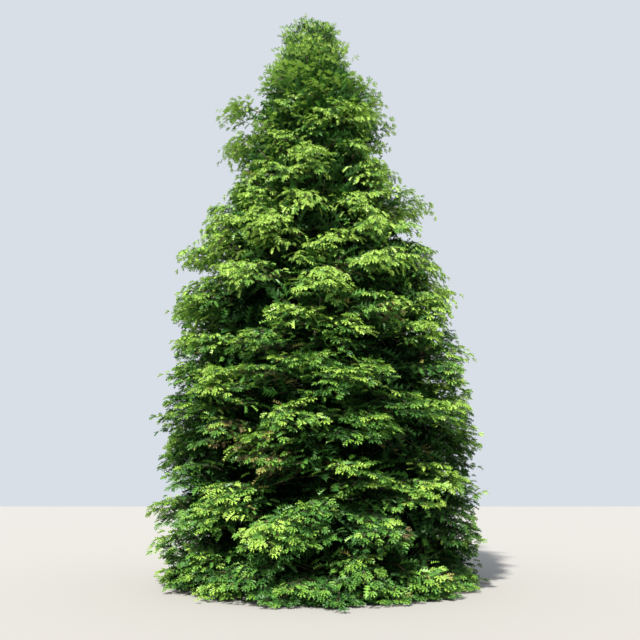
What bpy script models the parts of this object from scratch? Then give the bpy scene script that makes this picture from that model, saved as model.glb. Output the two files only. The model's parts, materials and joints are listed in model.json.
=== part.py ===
"""Grand fir, a whole conifer clothed to the ground: one trunk, its main boughs and its masses of foliage.

Metres, +Z up. The origin is the middle of the flat cut under the trunk, at ground level.
The crown is split into cells: tiers stacked up the trunk, each cut into equal sectors like a cake.
Each cell holds one mass of foliage. In the four lowest tiers a bough carries the mass out from
the trunk, and above them the mass grows from the trunk itself. The last mass stands on the tip.
"""

import math
import random

import bmesh
import bpy
from mathutils import Matrix, Vector

# Whole tree
HEIGHT = 13.2
CROWN_RADIUS = 3.43
CROWN_POINT = 13.5  # height where the crown's sides would meet
CROWN_FULLNESS = 2.3  # above 1, the sides bulge between the ground and the point
SKIRT_HEIGHT = 1.5  # below this the crown draws in a little
SKIRT_TUCK = 0.09
CAP_RADIUS = 0.84  # the blunt top is half an ellipsoid of this radius
CAP_DEPTH = 1.0

# Trunk
TRUNK_TOP = 11.45
BOLE_RADIUS = 0.205
TIP_RADIUS = 0.022
FLARE_RADIUS = 0.14
FLARE_HEIGHT = 0.26
ROOT_LOBES = 5
LOBE_DEPTH = 0.22
TRUNK_SIDES = 15
TRUNK_RINGS = 13
LEAN = -0.16  # how far the tip stands from the foot, along X
SWEEP = 0.035  # sideways wander of the bole

# Tiers: the floor of tier n is the cone z = floor_height(n) + floor_slope(n) * radius
TIER_SECTORS = (5, 5, 5, 5, 4, 4, 3, 3, 3)
BOUGH_TIERS = 4
GROUND_CLEARANCE = 0.03
FIRST_FLOOR, FLOOR_STEP, FLOOR_GROWTH = 1.30, 1.12, 0.015
FIRST_SLOPE, SLOPE_STEP, SLOPE_GROWTH = -0.12, 0.060, 0.0085
TIER_TURN = math.radians(137.5)  # each tier is turned from the one below by this

# Boughs
BOUGH_SHARE = 0.32  # of the way from the trunk's axis to the mass's furthest reach
BOUGH_BASE_RADIUS = 0.052
BOUGH_TIP_RADIUS = 0.034
BOUGH_SIDES = 6
BOUGH_RINGS = 3
STEM_SIDES = 4
SAG = 0.05  # the middle of a limb hangs below its chord by this share of its mass's reach
JOINT_GAP = 0.0003
ROOT_DEPTH = 0.5  # limbs start this share of the trunk's radius from its axis, and are then cut clear
WELD = 2e-7  # points closer than this are one

# Foliage
SEED = 41
CELL_MARGIN = 0.022  # every mass stays this far inside its cell's sides
WALL_MARGIN = 1.5 * CELL_MARGIN  # and this far inside its floor and ceiling, which slope
STAND_OFF = 0.10  # sprays of a mass with no bough start this far out of the trunk
RIM_STEPS, RIM_DAMPING = 40, 0.5  # the crown's outline is met by this many damped steps
REACH_LOW, REACH_HIGH = 0.95, 1.03
TWIG_SIDES = 3
TWIG_RADIUS = 0.020
TWIG_TIP_RADIUS = 0.011
STEM_RADII = (0.030, 0.028, 0.022, 0.014)
STEM_STOPS = (0.25, 0.6, 1.0)  # where the stem bends, as shares of its way to the rim
STEM_SHORT = 0.55  # it ends this share of a spray's length short of the rim
BLADE_SHARE = 0.42  # a spray's length as a share of its mass's reach, within the next two sizes
BLADE_SHORTEST, BLADE_LONGEST = 0.62, 1.30
LENGTH_SPREAD = 0.1  # sprays are up to this share longer or shorter
BLADE_ASPECT = 0.42  # half the width over the length
BLADE_MIDDLE = 0.46  # its thickest place, as a share of its length
BLADE_THICKNESS = 0.06  # over the length
SIDE_DROOP = 0.20  # how far a spray's sides and its tip hang, over its length
TIP_DROOP = 0.10
RIM_SHARE = 0.985  # sprays end at this share of the way to the crown's outline
PITCH_REACH = 0.9  # a spray is pitched by the fall of its row over this share of its length
ROLL = 0.4  # the most that a spray is turned about its own length
FORK_SPREAD = 0.5  # twigs fork within this share of the stem's second stretch
ACROSS_SPREAD, SHARE_SPREAD = 0.05, 0.08  # how far a spray is moved across its sector and up its tier
# Rows of sprays from the top of a mass down: (share of its height, count, spread, fall from root to tip)
LOW_ROWS = ((0.70, 3, 0.60, 0.50), (0.10, 4, 0.78, 0.50), (-0.46, 2, 0.45, 0.28))
HIGH_ROWS = ((0.78, 3, 0.60, 0.40), (0.12, 4, 0.80, 0.45), (-0.44, 3, 0.60, 0.30))
CORE_WIDTH, CORE_HEIGHT = 0.92, 0.82  # the dense middle of a mass, as shares of its cell's
CORE_MIDDLE, CORE_DEPTH = 0.40, 0.36  # and of the stretch from its inner end to the rim
CORE_SIDES = 6
CORE_SQUARENESS = 0.4  # towards 0 its outline fills the corners of its sector
CORE_LUMPS = 0.85  # its points stand between this share of its size and all of it
CORE_RINGS = ((-0.75, 0.62), (0.0, 1.0), (0.75, 0.62))  # share of its height, share of its width
SHRINKS = (1.0, 0.85, 0.7)  # a spray that doesn't fit is tried again at these sizes

# The last mass: its whorls as (share of the leader, count, pitch in radians, length)
TOP_WHORLS = ((0.04, 4, 0.72, 0.95), (0.36, 3, 0.55, 0.85), (0.62, 3, 0.70, 0.65), (0.97, 1, 1.50, 0.24))
TOP_TWIST = 9.6  # how far the whorls turn over the whole leader
LEADER_SHORT = 0.25
FORK_DROP = 0.08


def clear_scene():
    """Empties the scene."""
    for obj in list(bpy.data.objects):
        bpy.data.objects.remove(obj, do_unlink=True)


def material(name, colour, roughness):
    """A plain Principled material."""
    made = bpy.data.materials.new(name)
    made.use_nodes = True
    shader = made.node_tree.nodes["Principled BSDF"]
    shader.inputs["Base Color"].default_value = (*colour, 1.0)
    shader.inputs["Roughness"].default_value = roughness
    shader.inputs["Metallic"].default_value = 0.0
    return made


# ---------------------------------------------------------------- the crown's shape


def crown_radius(z):
    """The crown's reach from its axis at height z."""
    sides = 1.0 - (max(z, 0.0) / CROWN_POINT) ** CROWN_FULLNESS
    tuck = 1.0 - SKIRT_TUCK * max(0.0, 1.0 - z / SKIRT_HEIGHT) ** 2
    rise = (z - (HEIGHT - CAP_DEPTH)) / CAP_DEPTH
    cap = CAP_RADIUS * math.sqrt(1.0 - rise * rise) if abs(rise) < 1.0 else 0.0
    return max(CROWN_RADIUS * sides * tuck, cap, 0.0)


def trunk_axis(z):
    """The middle of the trunk at height z."""
    up = z / TRUNK_TOP
    return Vector((LEAN * up * up, SWEEP * math.sin(math.pi * up), z))


def trunk_radius(z):
    """The trunk's mean radius at height z, with its root flare."""
    bole = TIP_RADIUS + (BOLE_RADIUS - TIP_RADIUS) * (1.0 - z / TRUNK_TOP)
    return bole + FLARE_RADIUS * math.exp(-z / FLARE_HEIGHT)


def floor_height(tier):
    """Height at the axis of the cone under a tier."""
    if tier == 0:
        return GROUND_CLEARANCE
    above = tier - 1
    return FIRST_FLOOR + FLOOR_STEP * above + FLOOR_GROWTH * above * above


def floor_slope(tier):
    """Slope of the cone under a tier, in metres of rise for each metre outwards."""
    if tier == 0:
        return 0.0
    above = tier - 1
    return FIRST_SLOPE + SLOPE_STEP * above + SLOPE_GROWTH * above * above


class Cell:
    """The space of one mass: a sector of a tier, out to the mass's own reach."""

    def __init__(self, tier, sector, rng):
        self.tier = tier
        self.half_angle = math.pi / TIER_SECTORS[tier]
        self.azimuth = tier * TIER_TURN + sector * 2.0 * self.half_angle
        self.reach = rng.uniform(REACH_LOW, REACH_HIGH)
        self.has_bough = tier < BOUGH_TIERS
        self.outer = self.rim_radius()
        stand_off = self.outer * BOUGH_SHARE
        self.inner = stand_off if self.has_bough else trunk_radius(self.height(0.0, 0.0)) + STAND_OFF

    def height(self, radius, share):
        """Height at a radius, from share -1 on the tier's floor to 1 on its ceiling."""
        low = floor_height(self.tier) + floor_slope(self.tier) * radius
        high = floor_height(self.tier + 1) + floor_slope(self.tier + 1) * radius
        return low + (high - low) * (share + 1.0) / 2.0

    def rim_radius(self, share=0.0):
        """Where the surface at this share of the tier's height meets the crown's outline."""
        radius = CROWN_RADIUS
        for _ in range(RIM_STEPS):
            radius += RIM_DAMPING * (crown_radius(self.height(radius, share)) - radius)
        return radius * self.reach

    def point(self, radius, across, share, sag=0.0):
        """The point at a radius, across the sector from -1 to 1, and up the tier from -1 to 1.

        The sag lowers it, but never to the ground.
        """
        angle = self.azimuth + across * self.half_angle
        z = self.height(radius, share)
        axis = trunk_axis(max(0.0, min(z, TRUNK_TOP)))
        low = max(z - sag, GROUND_CLEARANCE)
        return Vector((axis.x + radius * math.cos(angle), axis.y + radius * math.sin(angle), low))

    def limb_point(self, radius, across=0.0, share=0.0):
        """A point on the mass's main limb, which sags between the trunk and the rim."""
        along = radius / self.outer
        return self.point(radius, across, share, SAG * self.outer * 4.0 * along * (1.0 - along))

    def limb_way(self, radius):
        """Which way the main limb runs at a radius."""
        step = 0.01
        return (self.limb_point(radius + step) - self.limb_point(radius - step)).normalized()

    def holds(self, place):
        """Whether a point lies inside the cell, clear of its walls."""
        axis = trunk_axis(max(0.0, min(place.z, TRUNK_TOP)))
        x, y = place.x - axis.x, place.y - axis.y
        radius = math.hypot(x, y)
        if radius < self.inner + CELL_MARGIN or radius > crown_radius(place.z) * self.reach:
            return False
        turn = (math.atan2(y, x) - self.azimuth + math.pi) % (2.0 * math.pi) - math.pi
        if radius * math.sin(self.half_angle - abs(turn)) < CELL_MARGIN or abs(turn) >= self.half_angle:
            return False
        return self.height(radius, -1.0) + WALL_MARGIN < place.z < self.height(radius, 1.0) - WALL_MARGIN


class TopCell:
    """The space of the last mass, over the highest tier's ceiling and round the trunk's tip."""

    def holds(self, place):
        """Whether a point lies inside the cell, clear of its floor."""
        axis = trunk_axis(min(place.z, TRUNK_TOP))
        radius = math.hypot(place.x - axis.x, place.y - axis.y)
        last = len(TIER_SECTORS)
        floor = floor_height(last) + floor_slope(last) * radius
        if place.z < TRUNK_TOP and radius < trunk_radius(place.z) + CELL_MARGIN:
            return False
        return floor + WALL_MARGIN < place.z < HEIGHT and radius < crown_radius(place.z)


# ---------------------------------------------------------------- closed shapes


def add_object(name, mesh_builder, paint=None):
    """Links a new object whose mesh is made by mesh_builder(bm)."""
    bm = bmesh.new()
    mesh_builder(bm)
    bmesh.ops.recalc_face_normals(bm, faces=bm.faces)
    mesh = bpy.data.meshes.new(name)
    bm.to_mesh(mesh)
    bm.free()
    obj = bpy.data.objects.new(name, mesh)
    bpy.context.scene.collection.objects.link(obj)
    if paint is not None:
        mesh.materials.append(paint)
    return obj


def ring_frame(direction):
    """Two unit vectors across a direction, the second as upright as it can be."""
    side = direction.cross(Vector((0.0, 0.0, 1.0)))
    if side.length < 1e-4:
        side = Vector((1.0, 0.0, 0.0))
    side.normalize()
    return side, side.cross(direction).normalized()


def add_tube(bm, path, radii, sides, first_way=None, last_way=None):
    """A closed tapering tube through the path's points. Its flat ends can be square to ways of their own."""
    rings = []
    ways = [after - before for before, after in zip([path[0], *path], [*path[1:], path[-1]])]
    ways[0], ways[-1] = first_way or ways[0], last_way or ways[-1]
    for i, place in enumerate(path):
        side, up = ring_frame(ways[i].normalized())
        ring = []
        for k in range(sides):
            angle = 2.0 * math.pi * (k + 0.5) / sides
            offset = side * math.cos(angle) + up * math.sin(angle)
            ring.append(bm.verts.new(place + offset * radii[i]))
        rings.append(ring)
    for low, high in zip(rings, rings[1:]):
        for k in range(sides):
            bm.faces.new((low[k], low[(k + 1) % sides], high[(k + 1) % sides], high[k]))
    bm.faces.new(rings[0][::-1])
    bm.faces.new(rings[-1])


def trunk_mesh(bm, skin=0.0):
    """The trunk, or with a skin above zero the cutter that keeps other pieces off it."""
    rings = []
    for i in range(TRUNK_RINGS):
        share = i / (TRUNK_RINGS - 1)
        z = TRUNK_TOP * share**1.8
        lobes = LOBE_DEPTH * math.exp(-z / FLARE_HEIGHT)
        ring = []
        for k in range(TRUNK_SIDES):
            angle = 2.0 * math.pi * k / TRUNK_SIDES
            radius = trunk_radius(z) * (1.0 + lobes * math.cos(ROOT_LOBES * angle)) + skin
            across = Vector((math.cos(angle), math.sin(angle), 0.0)) * radius
            ring.append(bm.verts.new(trunk_axis(z) + across))
        rings.append(ring)
    for low, high in zip(rings, rings[1:]):
        for k in range(TRUNK_SIDES):
            j = (k + 1) % TRUNK_SIDES
            bm.faces.new((low[k], low[j], high[j]))
            bm.faces.new((low[k], high[j], high[k]))
    bm.faces.new(rings[0][::-1])
    bm.faces.new(rings[-1])


def blade_outline():
    """One side of a toothed spray, as (share of the length, share of the half width) from root to tip."""
    return ((0.0, 0.04), (0.42, 1.0), (0.52, 0.58), (0.80, 0.70))


def blade_points(root, along, across, length):
    """The spray's outline, then its upper and lower middle."""
    normal = across.cross(along).normalized()
    half_width = length * BLADE_ASPECT
    left = [root + along * (x * length) + across * (y * half_width) for x, y in blade_outline()]
    right = [root + along * (x * length) - across * (y * half_width) for x, y in blade_outline()]
    rim = left + [root + along * length] + right[::-1]
    middle = root + along * (BLADE_MIDDLE * length)
    lift = normal * (BLADE_THICKNESS * length / 2.0)
    hung = []
    for place in rim:
        aside = abs((place - root).dot(across)) / half_width
        out = (place - root).dot(along) / length
        hung.append(place - normal * length * (SIDE_DROOP * aside + TIP_DROOP * out * out))
    return hung, middle + lift, middle - lift


def add_spray(bm, fork, points):
    """A closed toothed blade on its three-sided twig, which starts at the fork.

    The twig's last ring is the two root points of the blade's rim and a keel point below them.
    """
    rim, top, bottom = points
    edge = [bm.verts.new(p) for p in rim]
    upper, lower = bm.verts.new(top), bm.verts.new(bottom)
    keel = bm.verts.new((rim[0] + rim[-1]) / 2.0 + (bottom - top).normalized() * TWIG_TIP_RADIUS)
    side = (rim[0] - rim[-1]).normalized()
    down = (bottom - top).normalized()
    foot = [bm.verts.new(fork + offset * TWIG_RADIUS) for offset in (side, -side, down)]
    for i, vert in enumerate(edge):
        after = edge[(i + 1) % len(edge)]
        bm.faces.new((vert, after, upper))
        if i + 1 < len(edge):
            bm.faces.new((after, vert, lower))
    bm.faces.new((edge[0], keel, lower))
    bm.faces.new((keel, edge[-1], lower))
    ring = [edge[0], edge[-1], keel]
    for k in range(TWIG_SIDES):
        j = (k + 1) % TWIG_SIDES
        bm.faces.new((foot[k], foot[j], ring[j]))
        bm.faces.new((foot[k], ring[j], ring[k]))
    bm.faces.new(foot[::-1])


# ---------------------------------------------------------------- pieces


def keep_clear_of(obj, cutter):
    """Cuts a piece back to the joint gap from the trunk."""
    cut = obj.modifiers.new("clear_of_trunk", "BOOLEAN")
    cut.operation = "DIFFERENCE"
    cut.object = cutter
    apply_modifiers(obj)


def apply_modifiers(obj):
    """Writes the object's modifiers into its mesh."""
    graph = bpy.context.evaluated_depsgraph_get()
    made = bpy.data.meshes.new_from_object(obj.evaluated_get(graph))
    obj.modifiers.clear()
    obj.data = made


def is_one_solid(mesh):
    """Whether a mesh is one closed body that doesn't touch itself along an edge."""
    bm = bmesh.new()
    bm.from_mesh(mesh)
    bmesh.ops.remove_doubles(bm, verts=bm.verts, dist=WELD)
    closed = all(edge.is_manifold for edge in bm.edges)
    bm.verts.ensure_lookup_table()
    reached, waiting = {bm.verts[0]}, [bm.verts[0]]
    while waiting:
        for edge in waiting.pop().link_edges:
            for vert in edge.verts:
                if vert not in reached:
                    reached.add(vert)
                    waiting.append(vert)
    whole = len(reached) == len(bm.verts)
    bm.free()
    return closed and whole


def join_shapes(name, builders, paint, solver, cutter):
    """Closed shapes that overlap, joined by one Boolean union on a collection, clear of the cutter."""
    base = add_object(name, builders[0], paint)
    group = bpy.data.collections.new(name + "_shapes")
    bpy.context.scene.collection.children.link(group)
    for i, builder in enumerate(builders[1:]):
        helper = add_object(f"{name}_shape_{i}", builder, paint)
        bpy.context.scene.collection.objects.unlink(helper)
        group.objects.link(helper)
    join = base.modifiers.new("join", "BOOLEAN")
    join.operation = "UNION"
    join.operand_type = "COLLECTION"
    join.collection = group
    join.solver = solver
    apply_modifiers(base)
    for helper in list(group.objects):
        bpy.data.objects.remove(helper, do_unlink=True)
    bpy.data.collections.remove(group)
    if cutter is not None:
        keep_clear_of(base, cutter)
    return base


def fuse(name, builders, paint, cutter=None):
    """One solid from closed shapes. A mass that neither solver joins loses its last spray, and is tried again."""
    while True:
        for solver in ("EXACT", "MANIFOLD"):
            made = join_shapes(name, builders, paint, solver, cutter)
            if is_one_solid(made.data):
                return made
            bpy.data.objects.remove(made, do_unlink=True)
        builders = builders[:-1]


def make_bough(cell, name, cutter, bark):
    """The limb that carries a mass, from inside the trunk's cutter out to the mass's stem."""
    start = trunk_radius(cell.height(0.0, 0.0)) * ROOT_DEPTH
    radii, path = [], []
    for i in range(BOUGH_RINGS):
        share = i / (BOUGH_RINGS - 1)
        path.append(cell.limb_point(start + (cell.inner - start) * share))
        radii.append(BOUGH_BASE_RADIUS + (BOUGH_TIP_RADIUS - BOUGH_BASE_RADIUS) * math.sqrt(share))
    way = cell.limb_way(cell.inner)
    bough = add_object(name, lambda bm: add_tube(bm, path, radii, BOUGH_SIDES, last_way=way), bark)
    keep_clear_of(bough, cutter)


def stem_path(cell):
    """The mass's stem, from its bough's tip or from inside the trunk, nearly to the rim."""
    end = cell.outer - STEM_SHORT * spray_length(cell)
    if cell.has_bough:
        start = cell.limb_point(cell.inner) + cell.limb_way(cell.inner) * JOINT_GAP
    else:
        start = cell.limb_point(trunk_radius(cell.height(0.0, 0.0)) * ROOT_DEPTH)
    return [start] + [cell.limb_point(cell.inner + (end - cell.inner) * stop) for stop in STEM_STOPS]


def spray_length(cell):
    """How long the sprays of a mass are."""
    return min(max(BLADE_SHARE * cell.outer, BLADE_SHORTEST), BLADE_LONGEST)


def fitted_blade(cell, root, along, across, length):
    """The first size of spray that stays in the cell, or None."""
    for shrink in SHRINKS:
        points = blade_points(root, along, across, length * shrink)
        rim, top, bottom = points
        outside = [p for p in rim[1:-1] + [top, bottom] if not cell.holds(p)]
        if not outside:
            return points
    return None


def core_mesh(bm, cell, rng):
    """The dense middle of a mass: a lumpy pad that follows its cell."""
    stretch = cell.outer - cell.inner
    middle, depth = cell.inner + CORE_MIDDLE * stretch, CORE_DEPTH * stretch
    rings = []
    for up, wide in CORE_RINGS:
        ring = []
        for k in range(CORE_SIDES):
            angle = 2.0 * math.pi * (k + 0.5) / CORE_SIDES
            size = wide * rng.uniform(CORE_LUMPS, 1.0)
            radius = middle + depth * size * math.cos(angle)
            across = CORE_WIDTH * size * math.copysign(abs(math.sin(angle)) ** CORE_SQUARENESS, math.sin(angle))
            ring.append(bm.verts.new(cell.limb_point(radius, across, CORE_HEIGHT * up)))
        rings.append(ring)
    top = bm.verts.new(cell.limb_point(middle, 0.0, CORE_HEIGHT))
    bottom = bm.verts.new(cell.limb_point(middle, 0.0, -CORE_HEIGHT))
    for k in range(CORE_SIDES):
        after = (k + 1) % CORE_SIDES
        bm.faces.new((rings[0][after], rings[0][k], bottom))
        bm.faces.new((rings[-1][k], rings[-1][after], top))
        for low, high in zip(rings, rings[1:]):
            bm.faces.new((low[k], low[after], high[k]))
            bm.faces.new((low[after], high[after], high[k]))


def spray_places(cell, rng):
    """Yields each spray's place across the sector, and the shares of the tier's height at its root and tip."""
    for share, count, spread, fall in LOW_ROWS if cell.has_bough else HIGH_ROWS:
        for i in range(count):
            across = spread * (2.0 * i / (count - 1) - 1.0) + rng.uniform(-ACROSS_SPREAD, ACROSS_SPREAD)
            root = share + rng.uniform(-SHARE_SPREAD, SHARE_SPREAD)
            yield across, root, root - fall


def make_mass(cell, name, cutter, needles):
    """One mass of foliage: a stem, its twigs and their sprays, fused round a smaller core."""
    rng = random.Random(f"{SEED}/{name}")
    stem = stem_path(cell)
    way = cell.limb_way(cell.inner) if cell.has_bough else None
    builders = [lambda bm: add_tube(bm, stem, STEM_RADII, STEM_SIDES, first_way=way)]
    builders.append(lambda bm: core_mesh(bm, cell, random.Random(f"{SEED}/{name}/core")))
    for across, high, low in spray_places(cell, rng):
        length = spray_length(cell) * rng.uniform(1.0 - LENGTH_SPREAD, 1.0 + LENGTH_SPREAD)
        fork = stem[1].lerp(stem[2], rng.uniform(0.0, FORK_SPREAD))
        rim = cell.rim_radius(low) * RIM_SHARE
        tip = cell.point(rim, across, low)
        out = cell.point(rim - PITCH_REACH * length, across, high)
        along = (tip - out).normalized()
        out = tip - along * length
        roll = Matrix.Rotation(rng.uniform(-ROLL, ROLL), 3, along)
        side = roll @ ring_frame(along)[0]
        points = fitted_blade(cell, out, along, side, length)
        if points is None:
            continue
        builders.append(lambda bm, start=fork, shape=points: add_spray(bm, start, shape))
    return fuse(name, builders, needles, None if cell.has_bough else cutter)


def make_top(name, needles):
    """The last mass: a leader on the trunk's tip with short sprays all round it."""
    rng = random.Random(f"{SEED}/{name}")
    cell = TopCell()
    foot = trunk_axis(TRUNK_TOP) + Vector((0.0, 0.0, JOINT_GAP))
    crest = Vector((foot.x, foot.y, HEIGHT - LEADER_SHORT))
    builders = [lambda bm: add_tube(bm, [foot, crest], [TIP_RADIUS, TWIG_TIP_RADIUS], BOUGH_SIDES)]
    for up, count, pitch, length in TOP_WHORLS:
        for i in range(count):
            azimuth = 2.0 * math.pi * (i + rng.uniform(-0.1, 0.1)) / count + up * TOP_TWIST
            flat = Vector((math.cos(azimuth), math.sin(azimuth), 0.0))
            along = flat * math.cos(pitch) + Vector((0.0, 0.0, math.sin(pitch)))
            root = foot.lerp(crest, up + 0.01 * i)
            side = Vector((-flat.y, flat.x, 0.0))
            points = fitted_blade(cell, root, along, side, length)
            if points is not None:
                start = foot.lerp(crest, max(0.0, up - FORK_DROP))
                builders.append(lambda bm, fork=start, shape=points: add_spray(bm, fork, shape))
    return fuse(name, builders, needles)


def main():
    """Builds the whole tree."""
    clear_scene()
    bark = material("bark", (0.16, 0.12, 0.09), 0.9)
    needles = material("needles", (0.12, 0.26, 0.05), 0.6)
    add_object("trunk", trunk_mesh, bark)
    cutter = add_object("trunk_cutter", lambda bm: trunk_mesh(bm, JOINT_GAP))
    cutter.hide_render = True
    cutter.display_type = "WIRE"
    for tier, sectors in enumerate(TIER_SECTORS):
        for sector in range(sectors):
            label = f"{tier + 1}_{sector + 1}"
            cell = Cell(tier, sector, random.Random(f"{SEED}/reach/{label}"))
            if cell.has_bough:
                make_bough(cell, f"bough_{label}", cutter, bark)
            make_mass(cell, f"foliage_{label}", cutter, needles)
    make_top("foliage_top", needles)


main()
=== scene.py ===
"""A grand fir dressed over its frame of solids: bark, boughs, branches, twigs and sprays of needles.

Metres, +Z up. The origin is the middle of the flat cut under the trunk, at ground level.
The crown keeps the solids' plan: tiers stacked up the trunk, each cut into equal sectors. Each sector's
mass of foliage becomes boughs that fork from one stem, each a fan of branches edged with leafy twigs.
Python grows the limbs as paths. Geometry Nodes give the paths their wood and set the shoots along them.
"""

from __future__ import annotations

import json
import logging
import math
import random
from dataclasses import astuple, dataclass, field
from enum import Enum, IntEnum

import bpy
import numpy as np
from mathutils import Matrix, Vector, noise

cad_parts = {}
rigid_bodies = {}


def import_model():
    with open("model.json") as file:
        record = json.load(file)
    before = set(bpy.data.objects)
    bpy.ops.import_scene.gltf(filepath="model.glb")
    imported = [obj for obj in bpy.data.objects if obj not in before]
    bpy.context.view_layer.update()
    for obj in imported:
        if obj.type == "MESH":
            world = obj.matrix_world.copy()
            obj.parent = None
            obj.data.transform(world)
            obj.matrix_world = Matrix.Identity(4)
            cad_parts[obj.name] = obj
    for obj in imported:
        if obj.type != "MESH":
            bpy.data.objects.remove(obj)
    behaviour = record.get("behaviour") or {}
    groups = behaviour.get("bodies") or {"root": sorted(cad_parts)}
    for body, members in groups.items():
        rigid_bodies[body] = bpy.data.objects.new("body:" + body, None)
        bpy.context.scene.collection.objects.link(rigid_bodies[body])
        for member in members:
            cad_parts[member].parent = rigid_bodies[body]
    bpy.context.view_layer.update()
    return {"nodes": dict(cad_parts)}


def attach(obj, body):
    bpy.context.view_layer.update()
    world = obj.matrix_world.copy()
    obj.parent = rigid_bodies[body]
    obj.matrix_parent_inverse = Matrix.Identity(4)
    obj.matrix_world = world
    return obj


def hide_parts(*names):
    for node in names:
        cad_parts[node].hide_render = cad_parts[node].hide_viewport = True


LOG = logging.getLogger("grand_fir")
SEED = 41
UP = Vector((0.0, 0.0, 1.0))
GOLDEN_STEP = 0.618034

Colour = tuple[float, float, float]
Range = tuple[float, float]
Numbers = list[float] | float  # one for each point, or one for them all
Value = object  # a socket to link, or a plain value
Inputs = dict[str | int, Value]


# ---------------------------------------------------------------- the tree's plan


@dataclass(frozen=True)
class TrunkPlan:
    """The trunk's line and thickness, as the solids have them."""

    top: float = 11.45
    bole_radius: float = 0.205
    tip_radius: float = 0.022
    flare_radius: float = 0.14
    flare_height: float = 0.26
    root_lobes: int = 5
    lobe_depth: float = 0.22
    lean: float = -0.16
    sweep: float = 0.035

    def axis(self, z: float) -> Vector:
        """The middle of the trunk at height z, carried on upright above its top."""
        up = max(0.0, min(z, self.top)) / self.top
        return Vector((self.lean * up * up, self.sweep * math.sin(math.pi * up), z))

    def radius(self, z: float) -> float:
        """The mean radius at height z, with the root flare."""
        bole = self.tip_radius + (self.bole_radius - self.tip_radius) * (1.0 - z / self.top)
        return bole + self.flare_radius * math.exp(-z / self.flare_height)


@dataclass(frozen=True)
class CrownPlan:
    """The crown's outline and how it is cut into tiers and sectors."""

    height: float = 13.2
    widest: float = 3.43
    point: float = 13.5
    fullness: float = 2.3
    skirt_height: float = 1.5
    skirt_tuck: float = 0.09
    cap_radius: float = 0.84
    cap_depth: float = 1.0
    sectors: tuple[int, ...] = (5, 5, 5, 5, 4, 4, 3, 3, 3)
    bough_tiers: int = 4
    bough_share: float = 0.32
    stem_gap: float = 0.10  # from the trunk to a mass's stem, in tiers that have no bough
    limb_sag: float = 0.20  # of a limb, over its length
    clearance: float = 0.03
    floors: tuple[float, float, float] = (1.30, 1.12, 0.015)  # the second tier's floor, then its climb
    slopes: tuple[float, float, float] = (-0.12, 0.060, 0.0085)
    tier_turn: float = math.radians(137.5)
    reach: Range = (0.95, 1.03)

    def radius(self, z: float) -> float:
        """The crown's mean reach from its axis.

        Args:
            z: the height.

        Returns:
            The reach of the sides or of the blunt cap, whichever is wider there.
        """
        sides = 1.0 - (max(z, 0.0) / self.point) ** self.fullness
        tuck = 1.0 - self.skirt_tuck * max(0.0, 1.0 - z / self.skirt_height) ** 2
        rise = (z - (self.height - self.cap_depth)) / self.cap_depth
        cap = self.cap_radius * math.sqrt(1.0 - rise * rise) if abs(rise) < 1.0 else 0.0
        return max(self.widest * sides * tuck, cap, 0.0)

    def floor_height(self, tier: int) -> float:
        """Height at the axis of the cone under a tier."""
        return self.climbed(self.floors, tier - 1) if tier else self.clearance

    def floor_slope(self, tier: int) -> float:
        """Rise of that cone for each metre outwards."""
        return self.climbed(self.slopes, tier - 1) if tier else 0.0

    @staticmethod
    def climbed(terms: tuple[float, float, float], tiers: int) -> float:
        """A value that starts at the first term and changes with the tiers and with their square."""
        return terms[0] + terms[1] * tiers + terms[2] * tiers * tiers


TRUNK = TrunkPlan()
CROWN = CrownPlan()
RIM_STEPS = 40  # towards the crown's outline, each half of the way that is left
HALFWAY = 0.5


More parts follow.
